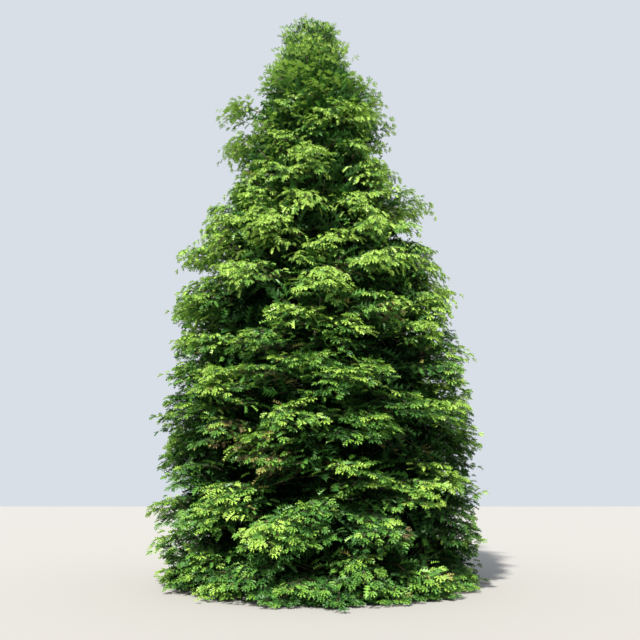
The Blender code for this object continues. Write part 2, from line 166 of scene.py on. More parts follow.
class Cell:
    """The space of one mass of foliage: a sector of a tier, out to the mass's own reach."""

    def __init__(self, tier: int, sector: int) -> None:
        """Works out the cell's sector and its inner and outer radius.

        Args:
            tier: which tier, from 0 at the ground.
            sector: which sector of the tier.
        """
        self.tier = tier
        self.label = f"{tier + 1}_{sector + 1}"
        self.half_angle = math.pi / CROWN.sectors[tier]
        self.azimuth = tier * CROWN.tier_turn + sector * 2.0 * self.half_angle
        self.reach = random.Random(f"{SEED}/reach/{self.label}").uniform(*CROWN.reach)
        self.has_bough = tier < CROWN.bough_tiers
        self.outer = self.rim_radius(0.0)
        self.trunk = TRUNK.radius(self.height(0.0, 0.0))
        self.inner = self.outer * CROWN.bough_share if self.has_bough else self.trunk + CROWN.stem_gap

    def height(self, radius: float, share: float) -> float:
        """The height of a place in the tier.

        Args:
            radius: how far it is from the axis.
            share: how far up the tier it is, from -1 on its floor to 1 on its ceiling.

        Returns:
            The height.
        """
        low = CROWN.floor_height(self.tier) + CROWN.floor_slope(self.tier) * radius
        high = CROWN.floor_height(self.tier + 1) + CROWN.floor_slope(self.tier + 1) * radius
        return low + (high - low) * (share + 1.0) / 2.0

    def rim_radius(self, share: float) -> float:
        """Where the surface at a share of the tier's height meets the crown's outline.

        Args:
            share: from -1 on its floor to 1 on its ceiling.

        Returns:
            The mass's reach there.
        """
        radius = CROWN.widest
        for _ in range(RIM_STEPS):
            radius += HALFWAY * (CROWN.radius(self.height(radius, share)) - radius)
        return radius * self.reach

    def point(self, radius: float, across: float, share: float, sag: float = 0.0) -> Vector:
        """A point of the cell.

        Args:
            radius: how far it is from the axis.
            across: its place across the sector, from -1 to 1.
            share: its place up the tier, from -1 to 1.
            sag: how far it then sinks.

        Returns:
            The point.
        """
        angle = self.azimuth + across * self.half_angle
        z = self.height(radius, share)
        axis = TRUNK.axis(z)
        return Vector((axis.x + radius * math.cos(angle), axis.y + radius * math.sin(angle), z - sag))

    def find(self, height: float, azimuth: float) -> tuple[float, float]:
        """Where a height and an azimuth lie.

        Args:
            height: the height.
            azimuth: the azimuth, in radians.

        Returns:
            How far across the sector and up the tier, each from -1 to 1 inside the cell.
        """
        turn = (azimuth - self.azimuth + math.pi) % (2.0 * math.pi) - math.pi
        low, high = self.height(self.outer, -1.0), self.height(self.outer, 1.0)
        return turn / self.half_angle, 2.0 * (height - low) / (high - low) - 1.0

    def limb_point(self, radius: float) -> Vector:
        """A point on the mass's main limb, which sags between the trunk and the rim."""
        along = radius / self.outer
        return self.point(radius, 0.0, 0.0, CROWN.limb_sag * self.outer * along * (1.0 - along))


def cells() -> list[Cell]:
    """Every cell of the crown, from the ground up."""
    return [Cell(tier, sector) for tier, count in enumerate(CROWN.sectors) for sector in range(count)]


# ---------------------------------------------------------------- node trees


class Graph:
    """A node tree, built one node at a time."""

    def __init__(self, tree: bpy.types.NodeTree) -> None:
        """Takes the tree that it adds to."""
        self.tree = tree

    @staticmethod
    def named(sockets: bpy.types.NodeInputs, name: str) -> bpy.types.NodeSocket:
        """The socket in use that has this name."""
        return next(socket for socket in sockets if socket.enabled and socket.name == name)

    def fill(self, node: bpy.types.Node, values: Inputs) -> None:
        """Sets a node's inputs.

        Args:
            node: the node.
            values: a socket to link or a value for each input, by the input's name or number.
        """
        for key, value in values.items():
            wanted = node.inputs[key] if isinstance(key, int) else self.named(node.inputs, key)
            if isinstance(value, bpy.types.NodeSocket):
                self.tree.links.new(value, wanted)
            else:
                wanted.default_value = value

    def add(self, kind: str, values: Inputs | None = None, **settings: Value) -> bpy.types.NodeSocket:
        """Adds a node.

        Args:
            kind: the node's type.
            values: what its inputs get, as for fill.
            **settings: its properties.

        Returns:
            The node's first output in use.
        """
        node = self.tree.nodes.new(kind)
        for key, setting in settings.items():
            setattr(node, key, setting)
        self.fill(node, values or {})
        return next(socket for socket in node.outputs if socket.enabled)

    def maths(self, operation: str, *values: Value) -> bpy.types.NodeSocket:
        """One step of arithmetic."""
        return self.add("ShaderNodeMath", dict(enumerate(values)), operation=operation)


# ---------------------------------------------------------------- finishes


def surface(name: str, values: dict[str, Value]) -> tuple[bpy.types.Material, Graph]:
    """A new Principled material.

    Args:
        name: its name.
        values: the values on its own sockets.

    Returns:
        The material and its graph.
    """
    made = bpy.data.materials.new(name)
    made.use_nodes = True
    graph = Graph(made.node_tree)
    graph.fill(made.node_tree.nodes["Principled BSDF"], values)
    return made, graph


@dataclass(frozen=True)
class NeedleFinish:
    """One plain colour of needles."""

    name: str
    colour: Colour
    roughness: float = 0.42
    gloss: float = 0.28

    def make(self) -> bpy.types.Material:
        """Builds the material."""
        looks = {"Roughness": self.roughness, "Specular IOR Level": self.gloss}
        return surface(self.name, {"Base Color": (*self.colour, 1.0), **looks})[0]


class Tint(Enum):
    """The colours of the shoots: greens from this year's light ones to old dark ones, darker also as
    painted shade down to SHADE, then the dry ones.
    """

    LEMON = NeedleFinish("needles_lemon", (0.34, 0.53, 0.088))
    LIME = NeedleFinish("needles_lime", (0.178, 0.36, 0.052))
    LEAF = NeedleFinish("needles_leaf", (0.092, 0.235, 0.037))
    GRASS = NeedleFinish("needles_grass", (0.044, 0.140, 0.025))
    MOSS = NeedleFinish("needles_moss", (0.028, 0.092, 0.014), 0.50, 0.22)
    PINE = NeedleFinish("needles_pine", (0.015, 0.056, 0.010), 0.60, 0.15)
    SHADE = NeedleFinish("needles_shade", (0.008, 0.030, 0.008), 0.75, 0.08)
    STRAW = NeedleFinish("needles_straw", (0.26, 0.25, 0.065), 0.60)
    RUSSET = NeedleFinish("needles_russet", (0.135, 0.105, 0.045), 0.65)


GREENS = 7  # how many of the tints are live greens


@dataclass(frozen=True)
class BarkFinish:
    """Bark with grain along the limb: furrows, a mottle of two greys and a bump."""

    name: str
    dark: Colour
    light: Colour
    grain: Vector = field(default_factory=lambda: Vector((9.0, 9.0, 2.2)))
    bump: float = 0.45
    roughness: float = 0.88
    gloss: float = 0.2
    furrow_scale: float = 3.0
    furrow_share: float = 1.6  # of the furrows in the colour, to one of the mottle
    mottle: tuple[float, float, float] = (2.4, 6.0, 0.65)  # its scale, detail and roughness
    ramp: Range = (0.38, 0.82)  # where the dark ends and the light starts
    relief: float = 0.02

    def make(self) -> bpy.types.Material:
        """Builds the material on Object coordinates.

        Returns:
            The finished material.
        """
        made, graph = surface(self.name, {"Roughness": self.roughness, "Specular IOR Level": self.gloss})
        place = graph.add("ShaderNodeTexCoord").node.outputs["Object"]
        stretched = graph.add("ShaderNodeMapping", {"Vector": place, "Scale": self.grain})
        values = {"Vector": stretched, "Scale": self.furrow_scale}
        furrows = graph.add("ShaderNodeTexVoronoi", values, feature="DISTANCE_TO_EDGE")
        values = {"Vector": stretched, **dict(zip(("Scale", "Detail", "Roughness"), self.mottle))}
        mottled = graph.add("ShaderNodeTexNoise", values)
        depth = graph.maths("MULTIPLY_ADD", furrows, self.furrow_share, mottled)
        colour = graph.add("ShaderNodeValToRGB", {"Fac": depth})
        for i, (position, shade) in enumerate(zip(self.ramp, (self.dark, self.light))):
            colour.node.color_ramp.elements[i].position = position
            colour.node.color_ramp.elements[i].color = (*shade, 1.0)
        values = {"Strength": self.bump, "Distance": self.relief, "Height": depth}
        bumped = graph.add("ShaderNodeBump", values)
        graph.fill(made.node_tree.nodes["Principled BSDF"], {"Base Color": colour, "Normal": bumped})
        return made


class Wood(Enum):
    """The finishes of the woody parts."""

    TRUNK = BarkFinish("bark_trunk", (0.045, 0.036, 0.030), (0.230, 0.200, 0.165))
    BRANCH = BarkFinish(
        "bark_branch", (0.060, 0.047, 0.034), (0.270, 0.235, 0.180), Vector((14.0, 14.0, 14.0)), 0.25
    )
    TWIG = BarkFinish(
        "bark_twig", (0.070, 0.062, 0.028), (0.190, 0.165, 0.070), Vector((30.0, 30.0, 30.0)), 0.1, 0.7
    )


# ---------------------------------------------------------------- pieces


def linked(name: str, data: bpy.types.ID) -> bpy.types.Object:
    """A new object in the scene.

    Args:
        name: its name.
        data: its mesh, camera or lamp.

    Returns:
        The object.
    """
    made = bpy.data.objects.new(name, data)
    bpy.context.scene.collection.objects.link(made)
    return made


def mesh_piece(
    name: str, points: list[Vector], faces: list[tuple[int, ...]], finish: bpy.types.Material
) -> bpy.types.Object:
    """A linked object from points and faces, shaded smooth.

    Args:
        name: the piece's name.
        points: its points.
        faces: its faces.
        finish: its material.

    Returns:
        The object.
    """
    mesh = bpy.data.meshes.new(name)
    mesh.from_pydata([tuple(p) for p in points], [], faces)
    mesh.materials.append(finish)
    mesh.shade_smooth()
    return linked(name, mesh)


def triangles(mesh: bpy.types.Mesh) -> int:
    """How many triangles a mesh has."""
    return len(mesh.loops) - 2 * len(mesh.polygons)


def stand_for(piece: bpy.types.Object, nodes: list[str]) -> None:
    """Fixes a piece to the ground in place of solids, and reports it.

    Args:
        piece: the piece.
        nodes: the solids that it stands for.
    """
    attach(piece, "root")
    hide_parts(*nodes)
    LOG.info("%s: %d triangles", piece.name, triangles(piece.data))


# ---------------------------------------------------------------- paths


class Paths:
    """Lines through space with values at each point, for Geometry Nodes to read."""

    def __init__(self, numbers: tuple[str, ...], with_way_up: bool) -> None:
        """Starts with no lines.

        Args:
            numbers: the names of the plain numbers that each point carries.
            with_way_up: whether each point also has the way that its spray's upper side faces.
        """
        self.points: list[Vector] = []
        self.edges: list[tuple[int, int]] = []
        self.numbers: dict[str, list[float]] = {name: [] for name in numbers}
        self.ups: list[Vector] = []
        self.with_way_up = with_way_up

    def add(self, line: list[Vector], ups: list[Vector] | None = None, **numbers: Numbers) -> None:
        """Adds one line, from its root to its tip.

        Args:
            line: its points.
            ups: the way up at each point, if the set has it.
            **numbers: each named value, as one number for the line or one for each point.
        """
        first = len(self.points)
        self.points += line
        self.edges += [(first + i, first + i + 1) for i in range(len(line) - 1)]
        for name, value in numbers.items():
            self.numbers[name] += value if isinstance(value, list) else [value] * len(line)
        if self.with_way_up:
            self.ups += ups

    def to_object(self, name: str) -> bpy.types.Object:
        """Makes a linked mesh of edges that holds the lines.

        Args:
            name: the new object's name.

        Returns:
            The object.
        """
        mesh = bpy.data.meshes.new(name)
        mesh.from_pydata([tuple(p) for p in self.points], self.edges, [])
        for label, values in self.numbers.items():
            mesh.attributes.new(label, "FLOAT", "POINT").data.foreach_set("value", values)
        if self.with_way_up:
            ups = np.array([tuple(v) for v in self.ups], dtype=np.float32).ravel()
            mesh.attributes.new("way_up", "FLOAT_VECTOR", "POINT").data.foreach_set("vector", ups)
        return linked(name, mesh)


# ---------------------------------------------------------------- Geometry Nodes


SOCKETS = {
    bool: "NodeSocketBool",
    int: "NodeSocketInt",
    float: "NodeSocketFloat",
    type(None): "NodeSocketObject",
}
GROUND_EASE = 0.08  # the height that whatever hangs lower is eased up from
LAST_STOP = 0.999  # the share of a path past which only its tip lies
LEFTWARDS = (0.0, 0.0, 1.0)
UPWARDS = (0.0, -1.0, 0.0)
ROUND = (1.0, 0.0, 0.0)


class Stream(IntEnum):
    """What each stream of random numbers decides about a shoot."""

    SPLAY = 1
    RISE = 2
    ROLL = 3
    LENGTH = 4
    TINT = 5
    DRYNESS = 6


class NodeGroup(Graph):
    """A Geometry Nodes tree with named inputs."""

    def __init__(self, name: str, inputs: dict[str, Value]) -> None:
        """Starts a tree with a geometry input and output.

        Args:
            name: the tree's name.
            inputs: each further input's default value by its name, or None for an object.
        """
        super().__init__(bpy.data.node_groups.new(name, "GeometryNodeTree"))
        face = self.tree.interface
        face.new_socket("Geometry", in_out="INPUT", socket_type="NodeSocketGeometry")
        face.new_socket("Geometry", in_out="OUTPUT", socket_type="NodeSocketGeometry")
        for label, default in inputs.items():
            made = face.new_socket(label, in_out="INPUT", socket_type=SOCKETS[type(default)])
            if default is not None:
                made.default_value = default
        self.source = self.tree.nodes.new("NodeGroupInput").outputs
        self.sink = self.tree.nodes.new("NodeGroupOutput")

    def attribute(self, name: str, kind: str = "FLOAT") -> bpy.types.NodeSocket:
        """A named attribute of the geometry."""
        return self.add("GeometryNodeInputNamedAttribute", {"Name": name}, data_type=kind)

    def chance(self, low: Value, high: Value, seed: Value) -> bpy.types.NodeSocket:
        """A random number for each point."""
        values = {"Min": low, "Max": high, "Seed": seed}
        return self.add("FunctionNodeRandomValue", values, data_type="FLOAT")

    def either_way(self, most: bpy.types.NodeSocket, stream: Stream) -> bpy.types.NodeSocket:
        """A random number for each point, up to this much to either side of zero."""
        seed = self.maths("ADD", self.source["Seed"], float(stream))
        return self.maths("MULTIPLY", self.chance(-1.0, 1.0, seed), most)

    def turned(self, rotation: Value, axis: tuple[float, ...], angle: Value) -> bpy.types.NodeSocket:
        """Turns a rotation further.

        Args:
            rotation: the rotation.
            axis: the axis to turn about, in the rotation's own frame.
            angle: how far to turn, in radians.

        Returns:
            The new rotation.
        """
        turn = self.add("FunctionNodeAxisAngleToRotation", {"Axis": axis, "Angle": angle})
        values = {"Rotation": rotation, "Rotate By": turn}
        return self.add("FunctionNodeRotateRotation", values, rotation_space="LOCAL")

    def off_the_ground(self, geometry: bpy.types.NodeSocket) -> bpy.types.NodeSocket:
        """Eases what hangs near the ground to lie just over it, with nothing turned over.

        Args:
            geometry: what the tree has made.

        Returns:
            The eased geometry.
        """
        height = self.source["Ground Ease"]
        parts = self.add("ShaderNodeSeparateXYZ", {0: self.add("GeometryNodeInputPosition")}).node.outputs
        over = self.maths("DIVIDE", self.maths("SUBTRACT", parts["Z"], height), height)
        eased = self.maths("MULTIPLY", self.maths("EXPONENT", over), height)
        lower = self.maths("LESS_THAN", parts["Z"], height)
        moved = self.add("ShaderNodeCombineXYZ", {0: parts["X"], 1: parts["Y"], 2: eased})
        values = {"Geometry": geometry, "Selection": lower, "Position": moved}
        return self.add("GeometryNodeSetPosition", values)

    def realized(self, geometry: bpy.types.NodeSocket) -> bpy.types.NodeSocket:
        """The geometry with its copies made real, and none of it under the ground."""
        return self.off_the_ground(self.add("GeometryNodeRealizeInstances", {"Geometry": geometry}))

    def finish(self, geometry: bpy.types.NodeSocket) -> bpy.types.NodeTree:
        """Joins the last geometry to the output and returns the tree."""
        self.fill(self.sink, {"Geometry": geometry})
        return self.tree


def limb_tree(finish: bpy.types.Material) -> bpy.types.NodeTree:
    """A tree that turns paths into tapering wood.

    Args:
        finish: the wood's material.

    Returns:
        The tree, with named inputs for how round the wood is and whether its ends are closed.
    """
    group = NodeGroup("limbs_on_paths", {"Sides": 6, "Caps": True, "Ground Ease": GROUND_EASE})
    source = group.source
    curves = group.add("GeometryNodeMeshToCurve", {"Mesh": source["Geometry"]})
    values = {"Resolution": source["Sides"], "Radius": 1.0}
    ring = group.add("GeometryNodeCurvePrimitiveCircle", values, mode="RADIUS")
    values = {"Curve": curves, "Profile Curve": ring, "Scale": group.attribute("radius")}
    wood = group.add("GeometryNodeCurveToMesh", {**values, "Fill Caps": source["Caps"]})
    values = {"Geometry": group.realized(wood), "Material": finish}
    return group.finish(group.add("GeometryNodeSetMaterial", values))


def dealt_tint(group: NodeGroup) -> bpy.types.NodeSocket:
    """Deals a tint to each point, from how old its needles are with their painted shade, and from the
    dryness that it carries.

    Args:
        group: the tree.

    Returns:
        The tint's number, in the order of Tint.
    """
    spread = group.either_way(group.source["Tint Spread"], Stream.TINT)
    aged_and_shaded = group.maths("ADD", group.attribute("age"), spread)
    green = group.maths("FLOOR", group.maths("MULTIPLY", aged_and_shaded, float(GREENS)))
    green = group.maths("MINIMUM", group.maths("MAXIMUM", green, 0.0), GREENS - 1.0)
    either = group.maths("ROUND", group.chance(0.0, 1.0, group.source["Seed"]))
    luck = group.chance(0.0, 1.0, int(Stream.DRYNESS))
    is_dry = group.maths("GREATER_THAN", group.attribute("dry"), luck)
    values = {"Switch": is_dry, "False": green, "True": group.maths("ADD", either, float(GREENS))}
    return group.add("GeometryNodeSwitch", values, input_type="FLOAT")


def shoot_tree(finishes: list[bpy.types.Material]) -> bpy.types.NodeTree:
    """A tree that sets shoots left and right along paths, with one at each tip.

    Args:
        finishes: the needles' materials, in the order of Tint.

    Returns:
        The tree, with named inputs for the shoot and its sizes.
    """
    group = NodeGroup(
        "shoots_along_twigs",
        {
            "Shoot": None,
            "Bud": None,
            "Spacing Share": 1.15,
            "Old Growth": 1.65,
            "Length Spread": 0.28,
            "Splay": math.radians(46.0),
            "Splay Spread": math.radians(14.0),
            "Rise Spread": math.radians(24.0),
            "Roll Spread": math.radians(34.0),
            "Tint Spread": 0.16,
            "Ground Ease": GROUND_EASE,
            "Seed": SEED,
        },
    )
    source = group.source
    length = group.attribute("shoot_length")
    curves = group.add("GeometryNodeMeshToCurve", {"Mesh": source["Geometry"]})
    values = {"Curve": curves, "Length": group.maths("MULTIPLY", length, source["Spacing Share"])}
    stops = group.add("GeometryNodeResampleCurve", values, mode="LENGTH")
    spline = group.add("GeometryNodeSplineParameter").node.outputs
    aside = group.maths("LESS_THAN", spline["Factor"], LAST_STOP)
    side = group.maths("MULTIPLY_ADD", group.maths("MODULO", spline["Index"], 2.0), 2.0, -1.0)
    splay = group.maths("MULTIPLY", group.maths("MULTIPLY", side, source["Splay"]), aside)
    values = {
        "Primary Axis": group.add("GeometryNodeInputTangent"),
        "Secondary Axis": group.attribute("way_up", "FLOAT_VECTOR"),
    }
    level = group.add("FunctionNodeAxesToRotation", values, primary_axis="X", secondary_axis="Z")
    rise = group.maths("ADD", group.attribute("rise"), group.either_way(source["Rise Spread"], Stream.RISE))
    splayed = group.maths("ADD", splay, group.either_way(source["Splay Spread"], Stream.SPLAY))
    rolled = group.either_way(source["Roll Spread"], Stream.ROLL)
    facing = level
    for axis, angle in ((LEFTWARDS, splayed), (UPWARDS, rise), (ROUND, rolled)):
        facing = group.turned(facing, axis, angle)
    values = {"Geometry": stops, "Name": "tint", "Value": dealt_tint(group)}
    dealt = group.add("GeometryNodeStoreNamedAttribute", values, data_type="INT", domain="POINT")
    grown = group.maths("ADD", group.either_way(source["Length Spread"], Stream.LENGTH), 1.0)
    size = group.maths("MULTIPLY", grown, length)
    longer = group.maths("MULTIPLY", size, source["Old Growth"])
    budded = group.maths("MULTIPLY", group.attribute("bud"), group.maths("SUBTRACT", 1.0, aside))
    sprays = group.add("GeometryNodeJoinGeometry")
    for part, where, way, scale in (
        ("Shoot", group.maths("SUBTRACT", 1.0, budded), facing, longer),
        ("Bud", budded, group.turned(level, UPWARDS, rise), size),
    ):
        copied = group.add("GeometryNodeObjectInfo", {"Object": source[part]}).node
        shape = group.named(copied.outputs, "Geometry")
        values = {"Points": dealt, "Selection": where, "Instance": shape, "Rotation": way, "Scale": scale}
        group.fill(sprays.node, {0: group.add("GeometryNodeInstanceOnPoints", values)})
    geometry = group.realized(sprays)
    for i, finish in enumerate(finishes):
        values = {"A": group.attribute("tint", "INT"), "B": i}
        chosen = group.add("FunctionNodeCompare", values, data_type="INT", operation="EQUAL")
        values = {"Geometry": geometry, "Selection": chosen, "Material": finish}
        geometry = group.add("GeometryNodeSetMaterial", values)
    return group.finish(geometry)


def run_tree(paths: Paths, name: str, tree: bpy.types.NodeTree, values: Inputs) -> bpy.types.Object:
    """Runs a tree over paths and keeps the result as a plain mesh.

    Args:
        paths: the lines that the tree reads.
        name: the piece's name.
        tree: the Geometry Nodes tree.
        values: a value for each of the tree's named inputs that isn't left at its default.

    Returns:
        The piece, with no modifier left.
    """
    obj = paths.to_object(name)
    grow = obj.modifiers.new("grow", "NODES")
    grow.node_group = tree
    sockets = {item.name: item.identifier for item in tree.interface.items_tree if item.in_out == "INPUT"}
    for label, value in values.items():
        grow[sockets[label]] = value
    graph = bpy.context.evaluated_depsgraph_get()
    made = bpy.data.meshes.new_from_object(obj.evaluated_get(graph))
    for label in [*paths.numbers, "way_up", "tint"]:
        if label in made.attributes:
            made.attributes.remove(made.attributes[label])
    old = obj.data
    obj.modifiers.clear()
    obj.data = made
    made.name = name
    bpy.data.meshes.remove(old)
    return obj


# ---------------------------------------------------------------- growth


@dataclass(frozen=True)
class ShootShape:
    """One shoot, one unit long: slim bunches of needles on both sides, swept towards its tip."""

    bunches: int = 3
    half_width: float = 0.175
    sweep: float = 0.20
    base: float = 1.05  # a bunch's width at the axis, over the distance between bunches
    lift: float = 0.16
    arch: float = 0.26
    sides_end: float = 0.86
    narrowest: float = 0.60  # the least width of a bunch, over the half width
    widening: Range = (0.25, 0.62)  # where the widths start on a sine, and how far they follow it
    last_root: float = 0.68
    last_end: float = 1.04
    last_width: float = 0.09
    last_drop: float = 0.4

    def corners(self) -> list[Vector]:
        """The corners of its triangles, three by three, along +X with +Z up.

        Returns:
            The corners: each bunch's triangle to the right and to the left, then the one at the tip.
        """
        made: list[Vector] = []
        step = self.sides_end / self.bunches
        first, spread = self.widening
        for i in range(self.bunches):
            share = (i + 0.5) / self.bunches
            swell = math.sin(math.pi * (first + spread * share))
            wide = self.half_width * (self.narrowest + (1.0 - self.narrowest) * swell)
            for side in (-1.0, 1.0):
                near = Vector((i * step, 0.0, -self.arch * (i * step) ** 2))
                far = Vector(((i + self.base) * step, 0.0, -self.arch * ((i + self.base) * step) ** 2))
                x = (i + 0.5) * step + self.sweep
                tip = Vector((x, side * wide, self.lift - self.arch * x * x))
                made += [near, far, tip] if side > 0.0 else [near, tip, far]
        made.append(Vector((self.last_root, -self.last_width, -self.last_drop * self.arch)))
        made.append(Vector((self.last_end, 0.0, -self.arch)))
        made.append(Vector((self.last_root, self.last_width, -self.last_drop * self.arch)))
        return made

    def make(self, name: str, turns: list[tuple[float, float, float]]) -> bpy.types.Object:
        """Builds shoots that spread from one bud.

        Args:
            name: the object's name.
            turns: each shoot's turn to the left and its rise, in radians, and its size.

        Returns:
            An object that isn't in the scene, for the tree to copy.
        """
        places: list[tuple[float, float, float]] = []
        for aside, rise, size in turns:
            turned = Matrix.Rotation(aside, 3, "Z") @ Matrix.Rotation(-rise, 3, "Y") * size
            places += [tuple(turned @ corner) for corner in self.corners()]
        mesh = bpy.data.meshes.new(name)
        mesh.from_pydata(places, [], [(i, i + 1, i + 2) for i in range(0, len(places), 3)])
        return bpy.data.objects.new(name, mesh)


class Bud(Enum):
    """The shoots that open at a twig's tip: each one's turn, rise and size."""

    FAN = (
        (0.0, -0.05, 1.15),
        (0.55, 0.10, 1.05),
        (-0.50, 0.0, 1.05),
        (1.05, 0.0, 0.90),
        (-1.00, 0.15, 0.90),
        (0.15, 0.45, 0.90),
    )
    TUFT = (
        (0.0, -0.20, 1.10),
        (0.60, 0.55, 1.05),
        (-0.55, 0.0, 1.05),
        (1.05, -0.30, 0.95),
        (-1.00, 0.80, 0.95),
        (0.10, 1.15, 0.95),
    )


@dataclass(frozen=True)
class Swell:
    """A place where the crown stands out past its mean outline, or is drawn in."""

    height: float
    azimuth: float  # degrees, 0 at +X and 270 at the front
    reach: float
    tall: float = 0.3
    wide: float = 32.0

    def at(self, height: float, azimuth: float) -> float:
        """How far it moves the crown's outline at a height and an azimuth."""
        turn = (azimuth - self.azimuth + 180.0) % 360.0 - 180.0
        return self.reach * math.exp(-(((height - self.height) / self.tall) ** 2) - (turn / self.wide) ** 2)


SWELLS = tuple(
    Swell(*row)
    for row in (
        (12.55, 180.0, 0.10, 0.22),
        (11.65, 180.0, 0.30, 0.26),
        (10.35, 182.0, 0.74, 0.50, 38.0),
        (9.40, 180.0, 0.26, 0.40),
        (8.50, 185.0, -0.75, 0.26, 60.0),
        (7.35, 180.0, 0.10, 0.20),
        (6.68, 180.0, 0.50, 0.18),
        (6.28, 182.0, -1.10, 0.20, 50.0),
        (5.35, 180.0, 0.48, 0.30),
        (0.35, 250.0, 0.15, 0.25, 12.0),
        (0.95, 248.0, 0.15, 0.25, 12.0),
        (1.20, 232.0, 0.15, 0.25, 12.0),
        (3.30, 236.0, 0.15, 0.25, 12.0),
        (2.60, 230.0, 0.15, 0.25, 12.0),
        (3.60, 285.0, 0.15, 0.25, 12.0),
        (2.65, 288.0, 0.15, 0.25, 12.0),
        (2.60, 180.0, 0.56, 1.80, 40.0),
        (2.60, 0.0, 0.34, 1.80, 40.0),
        (8.20, 180.0, 0.16, 3.20, 50.0),
        (8.20, 0.0, 0.08, 3.20, 50.0),
        (7.95, 182.0, -0.25, 0.40, 50.0),
        (0.10, 270.0, 0.22, 0.50, 90.0),
        (12.70, 0.0, -0.24, 0.22, 55.0),
        (12.70, 90.0, -0.24, 0.30, 50.0),
        (12.70, 270.0, -0.18, 0.30, 40.0),
        (11.95, 90.0, 0.14, 0.32, 45.0),
        (11.95, 270.0, 0.12, 0.32, 40.0),
        (11.90, 5.0, 0.15, 0.25),
        (10.75, 0.0, 0.36, 0.30),
        (10.15, 0.0, -0.15, 0.12, 50.0),
        (9.92, 0.0, 0.24, 0.14),
        (8.95, -5.0, -0.85, 0.36, 60.0),
        (8.18, 0.0, -0.50, 0.16, 50.0),
        (7.85, 0.0, 0.30, 0.14),
        (7.30, 0.0, -0.95, 0.28, 65.0),
        (0.50, 0.0, -0.25, 0.40, 50.0),
        (0.45, 180.0, -0.32, 0.40, 50.0),
        (6.85, 0.0, 0.20, 0.14),
        (5.95, 0.0, 0.36, 0.20),
        (6.10, 264.0, -0.65, 0.40, 12.0),
        (4.10, 268.0, -0.60, 0.24, 14.0),
        (2.00, 240.0, -0.50, 0.14, 8.0),
        (1.55, 281.0, -0.90, 0.18, 12.0),
        (0.60, 290.0, -0.50, 0.14, 10.0),
    )
)


def outline(place: Vector) -> float:
    """How far the crown reaches from its axis at a place's height and on its side.

    Args:
        place: the place.

    Returns:
        The reach, with the swells.
    """
    axis = TRUNK.axis(place.z)
    azimuth = math.degrees(math.atan2(place.y - axis.y, place.x - axis.x))
    reach = CROWN.radius(place.z) + sum(swell.at(place.z, azimuth) for swell in SWELLS)
    return min(reach, WIDEST)


def depth(place: Vector) -> float:
    """How far inside the crown's outline a place is."""
    return outline(place) - (place.xy - TRUNK.axis(place.z).xy).length


def cover(place: Vector) -> float:
    """How far inside both that outline and the mean one a place is."""
    return min(outline(place), CROWN.radius(place.z)) - (place.xy - TRUNK.axis(place.z).xy).length


@dataclass(frozen=True)
class DryPatch:
    """A part of the crown where needles have dried."""

    place: Vector
    size: float
    share: float

    def at(self, place: Vector) -> float:
        """The share of the shoots at a place that are dry."""
        return self.share * math.exp(-(((place - self.place).length / self.size) ** 2))


DRY_PATCHES = (
    DryPatch(Vector((-1.55, -2.35, 2.40)), 0.45, 0.60),
    DryPatch(Vector((-0.85, -2.70, 1.95)), 0.40, 0.55),
    DryPatch(Vector((1.55, -2.70, 0.90)), 0.42, 0.55),
    DryPatch(Vector((-0.75, -2.40, 3.55)), 0.28, 0.40),
    DryPatch(Vector((1.10, -2.30, 4.60)), 0.28, 0.30),
)


@dataclass(frozen=True)
class Habit:
    """How the fir branches at one height, in metres, radians and shares."""

    area: float  # of the crown's surface, for each mound of boughs
    shy: float  # the share of the crown's reach that a mound may fall short by
    youth_and_light: float  # how much lighter the tints are dealt: younger needles, and painted light and shade by height
    layers: float  # how many boughs lie one over another in a mound
    layer_gap: float
    stray: float  # how far a mound's boughs part sideways
    fade: float  # how much darker the tint gets with each metre from a bough's tip: older needles, and painted shade inside the mound
    plate: float  # length of a bough's leafy outer part
    width: float  # length of its longest side branch
    hump: float  # how far the plate's middle stands over its root, over its length
    drop: float  # how far its tip hangs below its root, over its length
    hang: float  # how far a side branch's tip hangs, over its length
    uneven: float  # how far a side branch may also leave the plate, over its length
    twig_hang: float  # how far a twig's tip hangs, over its length squared
    rise: float  # how far a shoot is tipped up out of its spray
    bush: float  # how far twigs lean up out of their spray
    shoot: float  # a shoot's length

    @staticmethod
    def at(z: float) -> Habit:
        """The habit at a height: flat shelves below, then hanging ones, and climbing tufts at the top.

        Args:
            z: the height.

        Returns:
            A blend of the habits that are given below and above it.
        """
        i = sum(z > height for height, _ in HABITS[1:-1])
        (start, below), (end, above) = HABITS[i], HABITS[i + 1]
        share = max(0.0, min(1.0, (z - start) / (end - start)))
        climb = share * share * (3.0 - 2.0 * share)
        return Habit(*(a + (b - a) * climb for a, b in zip(astuple(below), astuple(above))))


LOW_HABIT = Habit(
    area=1.10,
    shy=0.06,
    youth_and_light=-0.16,
    layers=3.0,
    layer_gap=0.15,
    stray=0.30,
    fade=0.20,
    plate=1.05,
    width=0.62,
    hump=0.12,
    drop=0.09,
    hang=0.18,
    uneven=0.15,
    twig_hang=0.6,
    rise=0.08,
    bush=0.28,
    shoot=0.100,
)
MID_HABIT = Habit(
    area=0.90,
    shy=0.08,
    youth_and_light=-0.03,
    layers=2.6,
    layer_gap=0.17,
    stray=0.20,
    fade=0.25,
    plate=0.85,
    width=0.50,
    hump=0.14,
    drop=0.22,
    hang=0.42,
    uneven=0.22,
    twig_hang=1.4,
    rise=-0.20,
    bush=0.40,
    shoot=0.095,
)
HIGH_HABIT = Habit(
    area=0.72,
    shy=0.13,
    youth_and_light=-0.06,
    layers=2.4,
    layer_gap=0.16,
    stray=0.15,
    fade=0.28,
    plate=0.66,
    width=0.40,
    hump=0.14,
    drop=0.20,
    hang=0.36,
    uneven=0.36,
    twig_hang=1.3,
    rise=-0.20,
    bush=0.60,
    shoot=0.092,
)
